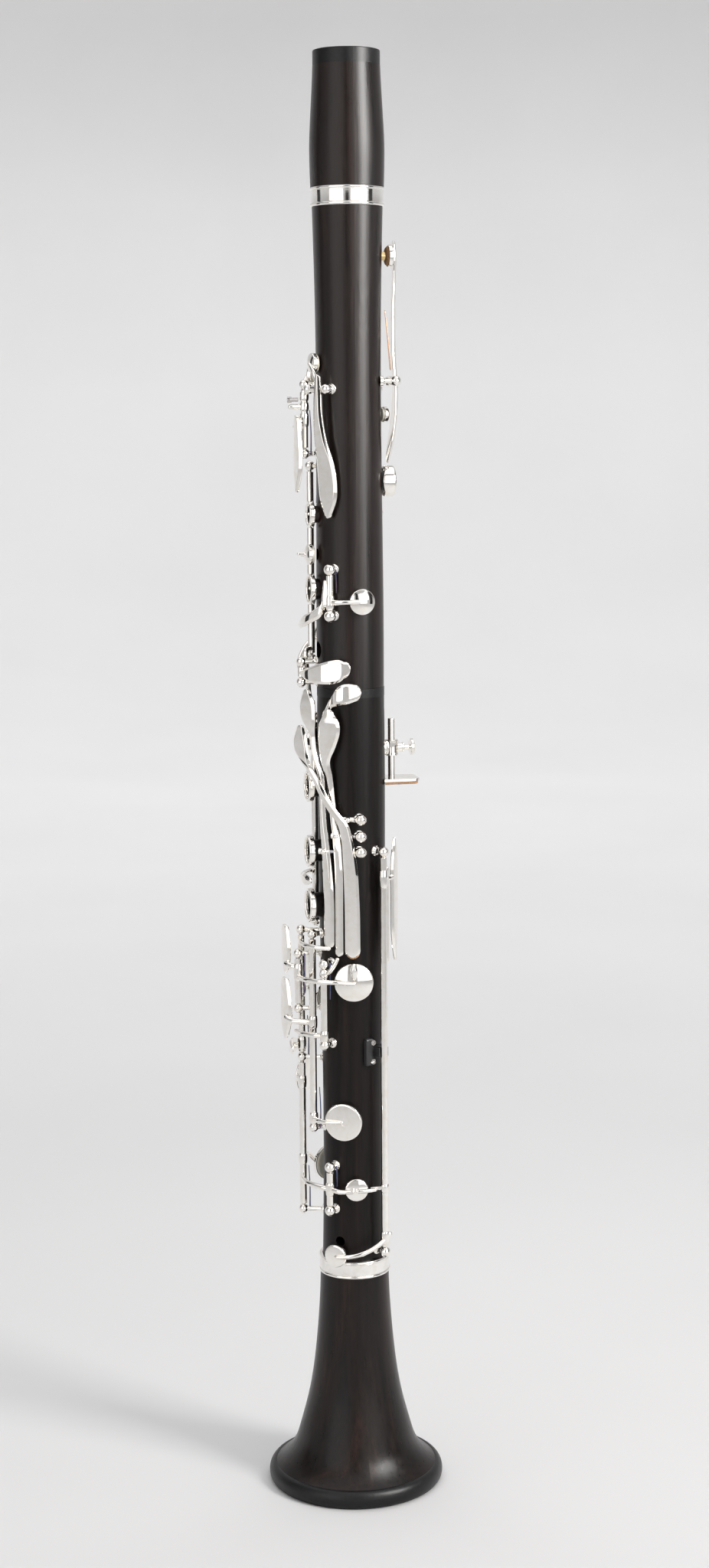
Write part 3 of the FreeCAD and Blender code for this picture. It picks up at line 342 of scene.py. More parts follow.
# ---- materials
class Surface:
    """A procedural material while it is built: its nodes feed one principled shader."""

    def __init__(self, name):
        self.material = bpy.data.materials.new(name)
        self.material.use_nodes = True
        self.tree = self.material.node_tree
        self.shader = self.tree.nodes["Principled BSDF"]
        self.coords = self.node("TexCoord", {}).outputs["Object"]

    def feed(self, socket, value):
        if isinstance(value, bpy.types.NodeSocket):
            self.tree.links.new(value, socket)
        elif socket.type == "RGBA":
            socket.default_value = (*value, 1)
        else:
            socket.default_value = value

    def node(self, kind, feeds, **settings):
        made = self.tree.nodes.new("ShaderNode" + kind)
        for name, value in settings.items():
            setattr(made, name, value)
        for name, value in feeds.items():
            self.feed(made.inputs[name], value)
        return made

    def stretched(self, scale):
        return self.node("Mapping", {"Vector": self.coords, "Scale": scale}).outputs["Vector"]

    def noise(self, scale, detail=4, rough=0.55, warp=0, stretch=None):
        place = self.stretched(stretch) if stretch else self.coords
        return self.node("TexNoise", {"Vector": place, "Scale": scale, "Detail": detail, "Roughness": rough,
                                      "Distortion": warp}).outputs["Fac"]

    def ramp(self, value, *stops):
        made = self.node("ValToRGB", {"Fac": value})
        elements = made.color_ramp.elements
        while len(elements) < len(stops):
            elements.new(0.5)
        for element, (place, colour) in zip(elements, stops):
            element.position = place
            element.color = (*colour, 1)
        return made.outputs["Color"]

    def spread(self, value, low, high):
        """Middle half of a noise, spread from low to high."""
        return self.node("MapRange", {"Value": value, "From Min": 0.25, "From Max": 0.75, "To Min": low,
                                      "To Max": high}).outputs["Result"]

    def mix(self, amount, a, b, mode="MULTIPLY"):
        return self.node("Mix", {0: amount, 6: a, 7: b}, data_type="RGBA", blend_type=mode).outputs[2]

    def finish(self, feeds, depth=0, *heights):
        """Feed the shader; heights are (height, strength) of bumps laid on each other."""
        for name, value in feeds.items():
            self.feed(self.shader.inputs[name], value)
        normal = None
        for height, strength in heights:
            inputs = {"Height": height, "Strength": strength, "Distance": depth}
            if normal:
                inputs["Normal"] = normal
            normal = self.node("Bump", inputs).outputs["Normal"]
        if normal:
            self.feed(self.shader.inputs["Normal"], normal)
        return self.material


def wood(name, dark, brown, red, rough, gloss):
    """Oiled grenadilla: near-black ground, long brown streaks, fine open pores."""
    s = Surface(name)
    figure = s.noise(62, 6, 0.6, 1.4, (1, 1, 0.07))
    streak = s.noise(420, 5, 0.6, 0.3, (1, 1, 0.035))
    pores = s.noise(2100, 2, 0.5, 0, (1, 1, 0.05))
    ground = s.ramp(figure, (0.34, dark), (0.56, brown), (0.72, red))
    fibre = s.ramp(streak, (0.3, (0.45, 0.42, 0.40)), (0.7, (1.25, 1.15, 1.1)))
    speck = s.ramp(pores, (0.30, (0.35, 0.33, 0.32)), (0.42, (1, 1, 1)))
    return s.finish({"Base Color": s.mix(0.8, s.mix(0.85, ground, fibre), speck), "Specular IOR Level": gloss,
                     "Roughness": s.spread(streak, rough - 0.05, rough + 0.07)}, 0.0002, (pores, 0.10),
                    (streak, 0.05))


def plate(name, tint, warm, rough, turned=0):
    """Polished silver plate: handling haze, a painted warm reflection tint in random patches, hairlines;
    turned adds lathe lines.
    """
    s = Surface(name)
    heights = [(s.noise(2600, 2, 0.5, 0, (1, 1, 0.12)), 0.02)]
    if turned:
        heights.append((s.noise(4200, 1, stretch=(0.02, 0.02, 1)), turned))
    # painted reflection: a warm tint in random patches stands in for warm light reflected in the silver
    painted_warm_reflection = s.ramp(s.noise(260, 3, 0.6, 0.6), (0.35, warm), (0.55, tint))
    haze = s.spread(s.noise(90, 5, 0.6), rough - 0.02, rough + 0.04)
    return s.finish({"Base Color": painted_warm_reflection, "Metallic": 1, "Roughness": haze}, 0.0001, *heights)


def black_ring_material():
    """Matt black composite with fine turning lines."""
    s = Surface("black_composite")
    grain = s.noise(900, 4, 0.6)
    colour = s.ramp(grain, (0.3, (0.005, 0.005, 0.005)), (0.7, (0.010, 0.010, 0.011)))
    rough = s.spread(grain, 0.30, 0.42)
    return s.finish({"Base Color": colour, "Roughness": rough, "Specular IOR Level": 0.3}, 0.0002,
                    (s.noise(2600, 2, stretch=(0.03, 0.03, 1)), 0.08), (grain, 0.05))


def cork_material(name, light, dark):
    """Natural cork: pale cells, darker lenticels and a crumbly face."""
    s = Surface(name)
    cells = s.node("TexVoronoi", {"Vector": s.coords, "Scale": 2400}).outputs["Distance"]
    flecks = s.noise(620, 4, 0.7, 0, (1, 1, 2.2))
    ground = s.ramp(cells, (0.1, light), (0.8, tuple(0.75 * c for c in light)))
    mask = s.ramp(flecks, (0.56, (0, 0, 0)), (0.66, (1, 1, 1)))
    colour = s.mix(mask, ground, dark, "MIX")
    return s.finish({"Base Color": colour, "Roughness": s.spread(flecks, 0.72, 0.9)}, 0.0002, (cells, 0.35),
                    (flecks, 0.3))


def steel_material(name, colour, blue, rough):
    """Drawn metal: brushed along its length, with heat colours."""
    s = Surface(name)
    drawn = s.noise(2400, 3, stretch=(1, 1, 0.06))
    return s.finish({"Base Color": s.ramp(s.noise(140, 2), (0.4, colour), (0.62, blue)), "Metallic": 1,
                     "Roughness": s.spread(drawn, rough - 0.06, rough + 0.08)}, 0.0001, (drawn, 0.08))


def pad_material():
    """Pale pad skin: thin membrane, fine wrinkles, faint yellowing."""
    s = Surface("pad_membrane")
    wrinkle = s.noise(700, 6, 0.65, 1.2)
    colour = s.ramp(s.noise(150, 3), (0.35, (0.80, 0.72, 0.58)), (0.65, (0.86, 0.82, 0.74)))
    rough = s.spread(wrinkle, 0.42, 0.6)
    return s.finish({"Base Color": colour, "Roughness": rough, "Subsurface Weight": 0.08}, 0.0002,
                    (wrinkle, 0.2))


def rubber_material(name, low, high, rough):
    """Black nylon, hard rubber or cloth with a fine grain."""
    s = Surface(name)
    grain = s.noise(1500, 3, 0.6)
    return s.finish({"Base Color": s.ramp(grain, (0.35, (low, low, low)), (0.65, (high, high, high * 1.05))),
                     "Roughness": s.spread(grain, rough - 0.05, rough + 0.1)}, 0.0002, (grain, 0.12))


WOOD_UPPER = wood("grenadilla_upper", (0.006, 0.004, 0.004), (0.018, 0.010, 0.008), (0.045, 0.019, 0.012),
                  0.30, 0.34)
WOOD_LOWER = wood("grenadilla_lower", (0.005, 0.004, 0.004), (0.012, 0.008, 0.007), (0.026, 0.013, 0.009),
                  0.34, 0.20)
WOOD_BELL = wood("grenadilla_bell", (0.005, 0.004, 0.004), (0.014, 0.008, 0.006), (0.034, 0.016, 0.011),
                 0.30, 0.27)
SILVER = plate("silver_plate", (0.975, 0.955, 0.92), (0.93, 0.89, 0.82), 0.045)
SILVER_TURNED = plate("silver_turned", (0.965, 0.95, 0.92), (0.91, 0.88, 0.83), 0.09, 0.12)
BLACK = black_ring_material()
CORK = cork_material("natural_cork", (0.60, 0.33, 0.16), (0.20, 0.09, 0.04))
STEEL = steel_material("drawn_steel", (0.60, 0.58, 0.56), (0.45, 0.44, 0.46), 0.24)
SPRING_BLUE = steel_material("blued_spring", (0.20, 0.16, 0.22), (0.10, 0.13, 0.26), 0.26)
SPRING_COPPER = steel_material("bronze_spring", (0.72, 0.36, 0.20), (0.80, 0.50, 0.30), 0.22)
BRASS = steel_material("turned_brass", (0.80, 0.62, 0.34), (0.70, 0.50, 0.26), 0.22)
PAD_SKIN = pad_material()
NYLON = rubber_material("black_nylon", 0.014, 0.024, 0.42)
EBONITE = rubber_material("hard_rubber", 0.012, 0.02, 0.3)


# ---- pieces
def piece(node, shapes, material, body, ending="_fine"):
    """One object from shapes in millimetres, riding on a body; it stands for the CAD node of its name."""
    name = node + ending
    verts, faces = [], []
    for points, cells in shapes:
        base = len(verts)
        verts.extend([tuple(p * MM) for p in points])
        faces.extend([tuple(base + i for i in cell) for cell in cells])
    mesh = bpy.data.meshes.new(name)
    mesh.from_pydata(verts, [], faces)
    work = bmesh.new()
    work.from_mesh(mesh)
    bmesh.ops.recalc_face_normals(work, faces=work.faces)
    work.to_mesh(mesh)
    work.free()
    mesh.shade_smooth()
    mesh.set_sharp_from_angle(angle=math.radians(SHARP))
    mesh.materials.append(material)
    obj = bpy.data.objects.new(name, mesh)
    bpy.context.scene.collection.objects.link(obj)
    even = obj.modifiers.new("even_normals", "WEIGHTED_NORMAL")
    even.keep_sharp = True
    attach(obj, body)
    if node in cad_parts:
        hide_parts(node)
    return obj


def plated(node, shapes):
    """A silver-plated key, standing for the CAD node and body of the same name."""
    return piece(node, shapes, SILVER, node)


def soft_pad(node, body, shapes, material=None):
    piece(node, shapes, material or PAD_SKIN, body)


def cupped(node, shapes, angle, z, radius, dome=1, gap=PAD_GAP, n=48, soft=None):
    """A plated key with its cup, and the soft pad in the cup; gap is from the wood to the pad."""
    bottom = wood_r(z) + gap
    plated(node, shapes + [cup(angle, z, bottom, radius, dome, n)])
    soft_pad(soft or node.replace("_key", "_pad"), node, [pad(angle, z, bottom, radius)])


posts = {"upper": [], "lower": []}
steels = []
needles = []


def joint_of(z):
    return "upper" if z > MIDDLE_Z else "lower"


def hinge_pin(p, q):
    """Hinge steel from p to q, with a slotted head at the q end."""
    axis = unit(q - p)
    length = np.linalg.norm(q - p)
    steels.append(revolve([(0, 0), (STEEL_R - 0.15, 0), (STEEL_R, 0.15), (STEEL_R, length), (0, length)],
                          p, axis, 16))
    steels.extend(slotted(q - axis * 0.5, axis, 1.05, 0.62, np.cross(axis, [0.3, 0.5, 0.8])))


def post(angle, r, z, ball_r=BALL_R):
    foot = at(angle, wood_r(z) - FOOT, z)
    posts[joint_of(z)].append(turned_post(foot, at(angle, r, z), FOOT, ball_r))


def needle(angle, r, z0, z1, off=2):
    """Needle spring from a post's stem along the key tube, under it."""
    p, q = at(angle + off, r - 2.6, z0), at(angle + off * 1.3, r - 2.1, z1)
    needles.append(arm([p, (p + q) / 2 - radial(angle) * 0.25, q], 0.34, 0.2, n=8, step=4))


def upright_hinge(angle, r, z0, z1, ball_r=BALL_R):
    post(angle, r, z0, ball_r)
    post(angle, r, z1, ball_r)
    hinge_pin(at(angle, r, z1 + ball_r * 0.9), at(angle, r, z0 - ball_r * 0.9))
    return tube(at(angle, r, z0 + END_GAP), at(angle, r, z1 - END_GAP))


# ---- keys of the upper joint
def register_key():
    z, r, half = 498.3, 19.6, 6.2
    for side in (-1, 1):
        foot = np.array([side * half, wood_r(z) - 3, z])
        top = np.array([side * half, r, z])
        posts["upper"].append(turned_post(foot, top, 2.2))
    hinge_pin(np.array([-half - 2.1, r, z]), np.array([half + 2.1, r, z]))
    barrel_ = tube(np.array([2.5 - half, r, z]), np.array([half - 2.5, r, z]))
    lever = bar([(180, 20.3, 556, 4.6, 1.3), (180, 20.5, 551, 5.6, 1.4), (180, 20.5, 545, 3.4, 1.4),
                 (180, 19.8, 526, 3.8, 1.8), (180, 20.1, 505, 4.6, 1.9), (180, 20.8, 495, 5.6, 1.7),
                 (180, 20.1, 482, 7.8, 1.4), (180, 18.5, 471, 7.4, 1.3), (180, 17.5, 465, 4.6, 1.1)])
    plated("register_key", [barrel_, lever, cup(180, 551.5, 16.5, 4.9, 0.8),
                            sleeve(180, r, z, 6, 0.5, tangent(0))])
    cork = revolve([(0, 0), (3.2, 0), (3.7, 0.25), (4.3, 1), (4.4, PAD_T), (0, PAD_T)],
                   at(180, 16.5, 551.5), radial(180), 40)
    soft_pad("register_pad", "register_key", [cork], CORK)
    flat_spring = bar([(180, 18.6, 504, 2.4, 0.35), (180, 18, 512, 2, 0.35), (180, 16.4, 528, 1.4, 0.3)])
    piece("register_spring", [flat_spring], SPRING_COPPER, "register_key")


def thumb_key():
    angle, r = 212, 17.6
    body = upright_hinge(angle, r, 441, 495)
    ring = ring_round(180, 455.3, 15.3, 19.7, 6.8, hug=15.4)
    neck = bent([(angle, r, 455.3), (206, 17.9, 455.3), (201.5, 17.8, 455.3)], 1.3)
    reach = bent([(angle, r, 484), (206, 17.6, 484), (200, 17.2, 484)], 1)
    shapes = [body, ring, neck, reach, sleeve(angle, r, 455.3), sleeve(angle, r, 484)]
    cupped("thumb_ring_key", shapes, 190, 484, 3.4, 0.4, 0.75, soft="thumb_vent_pad")
    needle(angle, r, 441, 462, -4)


def throat_a_key():
    angle, r = -3, 19.4
    body = upright_hinge(angle, r, 467.5, 497, 2.2)
    touch = leaf([(0, -13), (4.6, -4), (4.4, 8), (1.2, 20), (-0.6, 20), (-2.4, 8), (-2.6, -6)],
                 9, 464, 23.6, 25)
    stalk = bent([(angle, r, 482), (-1, 22, 481), (4, 23.9, 479)], 1.5, 1.2)
    lug = bent([(angle, r, 487.5), (angle, 25.4, 487.5)], 1.3, 1.1)
    reach = bent([(angle, r, 492), (-16, 19.4, 497), (-25, 18, 501)], 1.2, 1)
    shapes = [body, touch, stalk, lug, reach, sleeve(angle, r, 482, 6), sleeve(angle, r, 492, 4),
              sleeve(angle, r, 487.5, 4)]
    cupped("throat_a_key", shapes, -25, 501, 4.6)
    out = radial(angle)
    screw = [revolve([(0, 0), (0.8, 0), (0.9, 0.4), (0.9, 3), (0, 3)], at(angle, 22, 490.6), out, 20)]
    screw += slotted(at(angle, 25, 490.6), out, 1.3, 1.8, tangent(angle) + UP * 0.4)
    piece("throat_a_screw", screw, STEEL, "throat_a_screw")
    needle(angle, r, 467.5, 486, 4)


def throat_gs_key():
    z, axis, offset = 495, 33, 17.9
    t = tangent(axis)
    mid = at(axis, offset, z)
    ends = [mid - t * 6.5, mid + t * 4.6]
    for end in ends:
        inward = -unit(end * [1, 1, 0])
        far = np.linalg.norm(end[:2]) - wood_r(z)
        posts["upper"].append(turned_post(end + inward * (far + FOOT), end, FOOT, 2.2))
    hinge_pin(ends[0] - t * 2, ends[1] + t * 2)
    body = tube(ends[0] + t * 2.4, ends[1] - t * 2.4)
    lever = bar([(33, 19, 500, 3, 1.6), (34, 19.4, 494, 4, 1.9), (35, 19.6, 484, 4.8, 1.9),
                 (39, 19.2, 472, 6.6, 1.7), (44, 18.6, 464, 8.4, 1.5), (47, 18.2, 455, 9.2, 1.5),
                 (47, 17.7, 447, 7.8, 1.4), (46, 17.3, 441.5, 3.6, 1.2)])
    reach = arm([mid + UP * 2 + radial(axis) * 0.6, at(22, 18.6, 503.5), at(13, 18.3, 505.5)], 1.2, 1)
    cupped("throat_gs_key", [body, lever, reach], 10, 506, 4.4)
    stop = bar([(50, 17, 458.5, 2.4, 1), (50, 17, 452.5, 2.4, 1)])
    soft_pad("throat_gs_bumper", "throat_gs_key", [stop], CORK)


def upper_ring_key():
    angle, r = -32, 18.2
    shapes = [upright_hinge(angle, r, 377.5, 462)]
    for z, out in ((441.3, 6), (408.8, 6.9)):
        edge = -math.degrees((out - 0.7) / 17.6)
        shapes += [ring_round(0, z, 16.2, 18.6, out), sleeve(angle, r, z, 6),
                   bent([(angle, r, z), ((edge + angle) / 2, 18.6, z), (edge, 17.6, z)], 1.35, 1.1)]
    shapes += [bent([(angle, r, 424), (-16, 19, 424), (-3, 19.4, 424)], 1.2, 1),
               bent([(-3, 19.2, 424), (-3, 22.4, 424)], 1.1, 0.9), sleeve(angle, r, 424),
               bent([(angle, r, 382), (-19, 19.6, 381.5), (-18, 19.3, 373), (-21, 18.6, 362)], 1.2)]
    cupped("upper_ring_key", shapes, 2, 424, 4.5, gap=RING_PAD_OPEN)
    needle(angle, r, 462, 446, -5)


def sliver_eb_key():
    angle, r = 50.5, 18.6
    body = upright_hinge(angle, r, 398, 418, 2.6)
    reach = bent([(angle, r, 404), (62, 19.6, 404), (76, 19.4, 404.1), (90, 18.7, 404.2)], 1.3, 1)
    lug = bar([(44, 19.6, 403, 3, 2.6), (44.5, 19.4, 407.8, 2.4, 2.6), (44.5, 19, 412.8, 1.8, 2)])
    touch = bar([(44, 19.6, 405, 3, 2.2), (40, 20.6, 400.5, 5.2, 1.8), (26, 21.4, 397.5, 4.8, 1.5),
                 (10, 22, 395.3, 4.8, 1.4), (-2, 22.2, 393.8, 3.8, 1.2)], True)
    shapes = [body, reach, lug, touch, sleeve(angle, r, 404, 6)]
    cupped("sliver_eb_key", shapes, 96, 404, 5.7, 1.5)
    needle(angle, r, 418, 408, 5)


def cs_gs_key():
    angle, r = -4, 21.8
    body = upright_hinge(angle, r, 368, 377, 2.2)
    touch = bar([(-4, 21.9, 372.2, 3, 1.8), (8, 21.5, 372, 4.6, 1.6), (18, 20.8, 372, 6.6, 1.6),
                 (36, 19.2, 372.8, 9.2, 1.6), (52, 18.2, 373.6, 10.2, 1.6), (63, 18, 374.2, 9.6, 1.5),
                 (69, 17.9, 374.6, 7.2, 1.3)], True)
    reach = bent([(angle, r, 372.5), (-20, 22.8, 376), (-40, 21.2, 384), (-54, 18.6, 388)], 1.2, 1)
    cupped("cs_gs_key", [body, touch, reach], -58, 388, 5)


SIDE_KEYS = [(-84, -75, 392, 419), (-99, -90, 398, 437), (-114, -105, 442, 490),
             (-129, -121, 448, 512)]
SIDE_TOUCH_Z = 357


def rocker(angle, z, r):
    """Lug and pin of a rocking bar; returns the bar's two cheeks."""
    t = tangent(angle)
    c = at(angle, r, z)
    rise = wood_r(z) - r
    posts[joint_of(z)].append(block(angle, r, z, (-0.55, 0.55), (-1.5, 1.5), (rise - 3, 0.55), 0.2))
    pin = [(0, -1.75), (0.42, -1.75), (0.5, -1.65), (0.5, 1.65), (0.42, 1.75), (0, 1.75)]
    steels.append(revolve(pin, c, t, 12))
    return [block(angle, r, z, span, (-2.2, 2.2), (-1.2, 1.2), 0.25) for span in ((-1.6, -0.75), (0.75, 1.6))]


def side_key(number):
    angle, cup_angle, pivot, cup_z = SIDE_KEYS[number]
    r, touch_r, low = 17.2, 18.9, SIDE_TOUCH_Z
    shapes = rocker(angle, pivot, r)
    shapes.append(bar([(angle, touch_r - 0.2, low - 11, 2.6, 1.2), (angle, touch_r, low - 7, 3.7, 1.4),
                       (angle, touch_r + 0.1, low + 5, 3.7, 1.4), (angle, 18.7, low + 14, 2.9, 1.4),
                       (angle, 18.8, pivot - 4, 2.8, 1.5), (angle, 18.8, pivot + 4, 2.8, 1.5),
                       (angle, 18.5, cup_z - 9, 2.6, 1.4), (cup_angle, 18.3, cup_z - 1, 2.4, 1.2)]))
    name = "side_key_%d" % (number + 1)
    cupped(name, shapes, cup_angle, cup_z, 3.9, 0.8, soft=name + "_pad")


# ---- keys of the lower joint
def lower_ring_key():
    angle, r = -40, 18.4
    shapes = [upright_hinge(angle, r, 259, 351.5)]
    for z, out in ((322, 7), (293, 7.1), (268.5, 7.7)):
        edge = -math.degrees(out / 19)
        shapes += [ring_round(0, z, 17.6, 20.3, out), sleeve(angle, r, z, 6),
                   bent([(angle, r, z), ((edge + angle) / 2, 19.8, z), (edge, 19, z)], 1.35, 1.1)]
    shapes += [bent([(angle, r, 341), (-32, 19.2, 341), (-24, 19.3, 341)], 1.2, 1), sleeve(angle, r, 343, 7),
               bent([(angle, r, 345), (-24, 18.6, 345.5), (-23, 17.4, 352), (-22, 16.8, 358.5)], 1.1, 0.85)]
    cupped("lower_ring_key", shapes, -22, 341, 4.2, gap=RING_PAD_OPEN)
    needle(angle, r, 259, 280, -5)


def bf_sliver_key():
    angle, r = -62, 18.4
    body = upright_hinge(angle, r, 270, 300)
    touch = bent([(angle, r, 281), (-50, 22.2, 281), (-28, 22.8, 280.7), (-4, 21.6, 280.5)], 1.2, 1)
    tip = bar([(-9, 21.8, 280.5, 4.8, 1.5), (8, 21.4, 280.5, 4.6, 1.4), (14, 20.9, 280.5, 2.8, 1.1)], True)
    reach = bent([(angle, r, 292), (-70, 19.2, 292), (-80, 18.9, 292)], 1.2, 1)
    shapes = [body, touch, tip, reach, sleeve(angle, r, 281), sleeve(angle, r, 292)]
    cupped("bf_sliver_key", shapes, -86, 292, 4.4)


# Left-hand levers rock on parallel cross pins: (pin height, where the tube lies along the pin, stations).
LEVERS = {
    "lh_ab_eb_lever": (309, (0.8, 6.2), [
        (4, 23.2, 347.6, 4.6, 1.2, 38), (5, 23.5, 343, 7.2, 1.5, 38), (7, 23.2, 338, 7.4, 1.6, 34),
        (12, 22.6, 334.5, 5.8, 1.6, 20), (20, 21.9, 331, 4.8, 1.6, 6), (29, 21.1, 326.5, 4.5, 1.6),
        (42, 20.5, 319, 4.5, 1.6), (56, 20.1, 312, 4.6, 1.6),
        (67, 19.8, 307, 4.8, 1.6), (72, 19.6, 300, 5, 1.5), (75.5, 19.3, 290, 6, 1.5),
        (78, 18.8, 272, 6.6, 1.4), (78.5, 18.1, 250.4, 6.8, 1.4)]),
    "lh_f_c_lever": (301.5, (-4.4, 0.6), [
        (49.8, 20.8, 355.4, 5.6, 1.2), (50.5, 20.8, 352.5, 9.2, 1.5), (50, 20.5, 348, 10.4, 1.6),
        (46, 19.8, 341, 8.4, 1.6), (41, 18.9, 334, 4.8, 1.5), (45, 18.2, 328, 3.6, 1.4),
        (48, 17.6, 318, 3.2, 1.4), (53, 18, 307, 3.4, 1.5), (56.5, 18.6, 301, 3.6, 1.6),
        (60, 18.8, 288, 3.7, 1.7), (60.2, 18.6, 270, 3.6, 1.8), (60, 18.6, 249.6, 3.6, 1.8)]),
    "lh_e_b_lever": (294.5, (-10.2, -5.2), [
        (9, 20.7, 363.4, 4.8, 1.2, 36), (11, 20.9, 359, 7.6, 1.5, 36), (12, 20.6, 353, 7.6, 1.6, 34),
        (14, 19.2, 345, 3.9, 1.5, 12), (19, 18.8, 336, 3.5, 1.5), (32, 18.6, 327, 3.4, 1.5),
        (33, 18.5, 318, 3.4, 1.5), (35, 18.4, 306, 3.8, 1.6),
        (39, 18.3, 294, 4.6, 1.7), (43, 18.3, 280, 5.2, 1.8), (44, 18.3, 270, 5.4, 1.8),
        (44, 18.3, 253.6, 5.4, 1.8)]),
}


def lever_point(z, along):
    return at(LEVER_AXIS, LEVER_DEPTH, z) + tangent(LEVER_AXIS) * along


def lh_lever(name):
    z, (a0, a1), stations = LEVERS[name]
    outer = lever_point(z, LEVER_POST)
    inner = lever_point(z, a0)
    flat = outer * [1, 1, 0]
    foot = flat * ((wood_r(z) - FOOT) / np.linalg.norm(flat)) + UP * z
    posts["lower"].append(turned_post(foot, outer, FOOT, 2.5))
    hinge_pin(inner, outer + tangent(LEVER_AXIS) * 2.3)
    middle = lever_point(z, (a0 + a1) / 2)
    saddle = arm([middle, middle + radial(LEVER_AXIS) * 1.8], 1.5, 1.3)
    plated(name, [tube(inner, lever_point(z, a1), 1.35), saddle, bar(stations)])


def fs_cs_lever():
    z = 345
    shapes = rocker(29, z, 16.7)
    shapes.append(bar([(83, 18.6, 364.6, 7.4, 1.4), (76, 18.9, 364.4, 8.6, 1.6), (64, 19.2, 363.6, 8.6, 1.6),
                       (55, 18.6, 362, 6.6, 1.5), (47, 17.2, 359.6, 4, 1.3)], True))
    shapes.append(bar([(50, 17, 361, 3.6, 1.2), (36, 17.1, 354, 2.6, 1.2), (29, 17.95, 346, 2.6, 1.2),
                       (29, 17.2, 338, 2.4, 1.2)]))
    plated("lh_fs_cs_lever", shapes)


def lever_cork():
    strip = bar([(79, 16.9, 256, 6, 0.8), (79, 16.8, 250.4, 6, 0.8)])
    end = bar([(79, 17.5, 251, 6, 1.9), (79, 17.5, 249.4, 6, 1.9)])
    soft_pad("lever_cork", "lh_ab_eb_lever", [strip, end], CORK)


def ab_eb_key():
    angle, r = -4, 24.5
    body = upright_hinge(angle, r, 221.5, 246.5, 2.1)
    touch = leaf([(0, -11), (4.2, -5), (4.4, 4), (1.6, 11), (-2.6, 11), (-4.6, 3), (-3.6, -6)],
                 -19, 247, 29.6, 31, lean=28)
    stalk = bent([(angle, r, 240), (-9, 28.2, 240.5), (-13, 29.9, 241)], 1.5, 1.2)
    reach = bent([(angle, r, 236), (20, 24.6, 236.6), (40, 23.6, 236.9), (58, 21.8, 236.8),
                  (70, 20.2, 236.3), (80, 19.6, 236)], 1.35, 0.9)
    egg = bar([(80, 18.6, 238.4, 2.2, 1.8), (80, 19, 241.4, 3.4, 2.4), (80, 18.9, 244, 2.6, 2)], bevel=1.6)
    shapes = [body, touch, stalk, reach, egg, sleeve(angle, r, 238, 8, 0.5)]
    cupped("ab_eb_key", shapes, 80, 236, 8.65, 1.7, n=72)
    needle(angle, r, 246.5, 228, 5)


def fs_cs_key():
    angle, r = 8, 19
    body = upright_hinge(angle, r, 167.5, 256, 2.2)
    touch = leaf([(0, -14), (4.6, -6), (4.4, 6), (1.6, 14), (-2.6, 14), (-4.6, 4), (-4, -8)],
                 -14, 220.5, 29.6, 31, lean=28)
    stalk = bent([(angle, r, 215.8), (2, 24, 215.8), (-6, 29, 216.2), (-9, 30, 217)], 1.4, 1.2)
    reach = bent([(angle, r, 171.5), (25, 19.6, 171.8), (44, 18.8, 172), (60, 17.5, 172.2)], 1.3, 0.75)
    dish = revolve([(0, 0), (1.7, 0), (1.85, 0.12), (1.6, 0.28), (1.2, 0.2), (0, 0.1)],
                   at(64, wood_r(172) + PAD_GAP + 3.05, 172.2), radial(64), 32)
    shapes = [body, touch, stalk, reach, dish, sleeve(angle, r, 171.8, 5), sleeve(angle, r, 215.8, 6)]
    cupped("fs_cs_key", shapes, 62, 172, 8.55, 0.35, n=72)
    needle(angle, r, 167.5, 186, 5)


def right_hand_key(name, z0, z1, cup_angle, cup_z, touch_z, cross_z, extra):
    angle, r = -20, 23.2
    touch = leaf([(-6, 0), (-4, 6), (3, 8), (8, 4), (8.5, -4), (4, -8), (-4, -6)],
                 -52, touch_z, 27.4, 28.8, 0.25)
    stalk = bent([(angle, r, touch_z), (-32, 26.6, touch_z), (-42, 28, touch_z)], 1.5, 1.3)
    reach = bent([(angle, r, cross_z), (-38, 23.4, cross_z), (-54, 21.6, cup_z), (cup_angle, 20.6, cup_z)],
                 1.3, 1)
    shapes = [tube(at(angle, r, z0), at(angle, r, z1)), touch, stalk, reach, sleeve(angle, r, touch_z, 6),
              sleeve(angle, r, cross_z, 5)]
    cupped(name, shapes + extra, cup_angle, cup_z, 8, 0.8, PAD_OPEN)


def right_hand_keys():
    angle, r = -20, 23.2
    for z in (126.5, 197.5, 256):
        post(angle, r, z, 2.2)
    hinge_pin(at(angle, r, 257.9), at(angle, r, 124.6))
    hook = bent([(angle, r, 251.5), (-4, 23.4, 251.5), (14, 23, 251.5), (30, 21.4, 251.4),
                 (45, 18.8, 251.2)], 1.2, 1)
    right_hand_key("f_c_key", 226, 253.5, -70, 222, 238, 229, [hook])
    right_hand_key("e_b_key", 129, 194.8, -62, 145, 186, 150, [])
    oval = bar([(-26, 26.4, 202.6, 5, 1.3), (-16, 28, 202.6, 7.5, 1.4), (-8, 27.6, 202.6, 3.4, 1.2)], True)
    plated("crow_foot", [tube(at(angle, r, 200), at(angle, r, 225.5)), oval,
                         bent([(angle, r, 202.6), (-21, 27.2, 202.6)], 1.3),
                         bent([(angle, r, 206), (-34, 24.6, 206), (-44, 24.8, 203)], 1.3, 1),
                         sleeve(angle, r, 204, 6)])
    needle(angle, r, 197.5, 216, -4)
    needle(angle, r, 126.5, 146, -4)


def transfer_key():
    angle, r = 38, 19.6
    body = upright_hinge(angle, r, 207.3, 244, 2.3)
    front = bent([(angle, r, 211.4), (26, 21.6, 211.3), (12, 23.8, 211.2), (-4, 25.6, 211.2)], 1.2, 1)
    back = bent([(angle, r, 239.8), (44, r, 240.2), (52, 19, 243.4), (57, 18.5, 246.6)], 1.15, 0.95)
    plated("transfer_key", [body, front, back, sleeve(angle, r, 211.4), sleeve(angle, r, 239.6, 4)])
    needle(angle, r, 244, 228, 4)


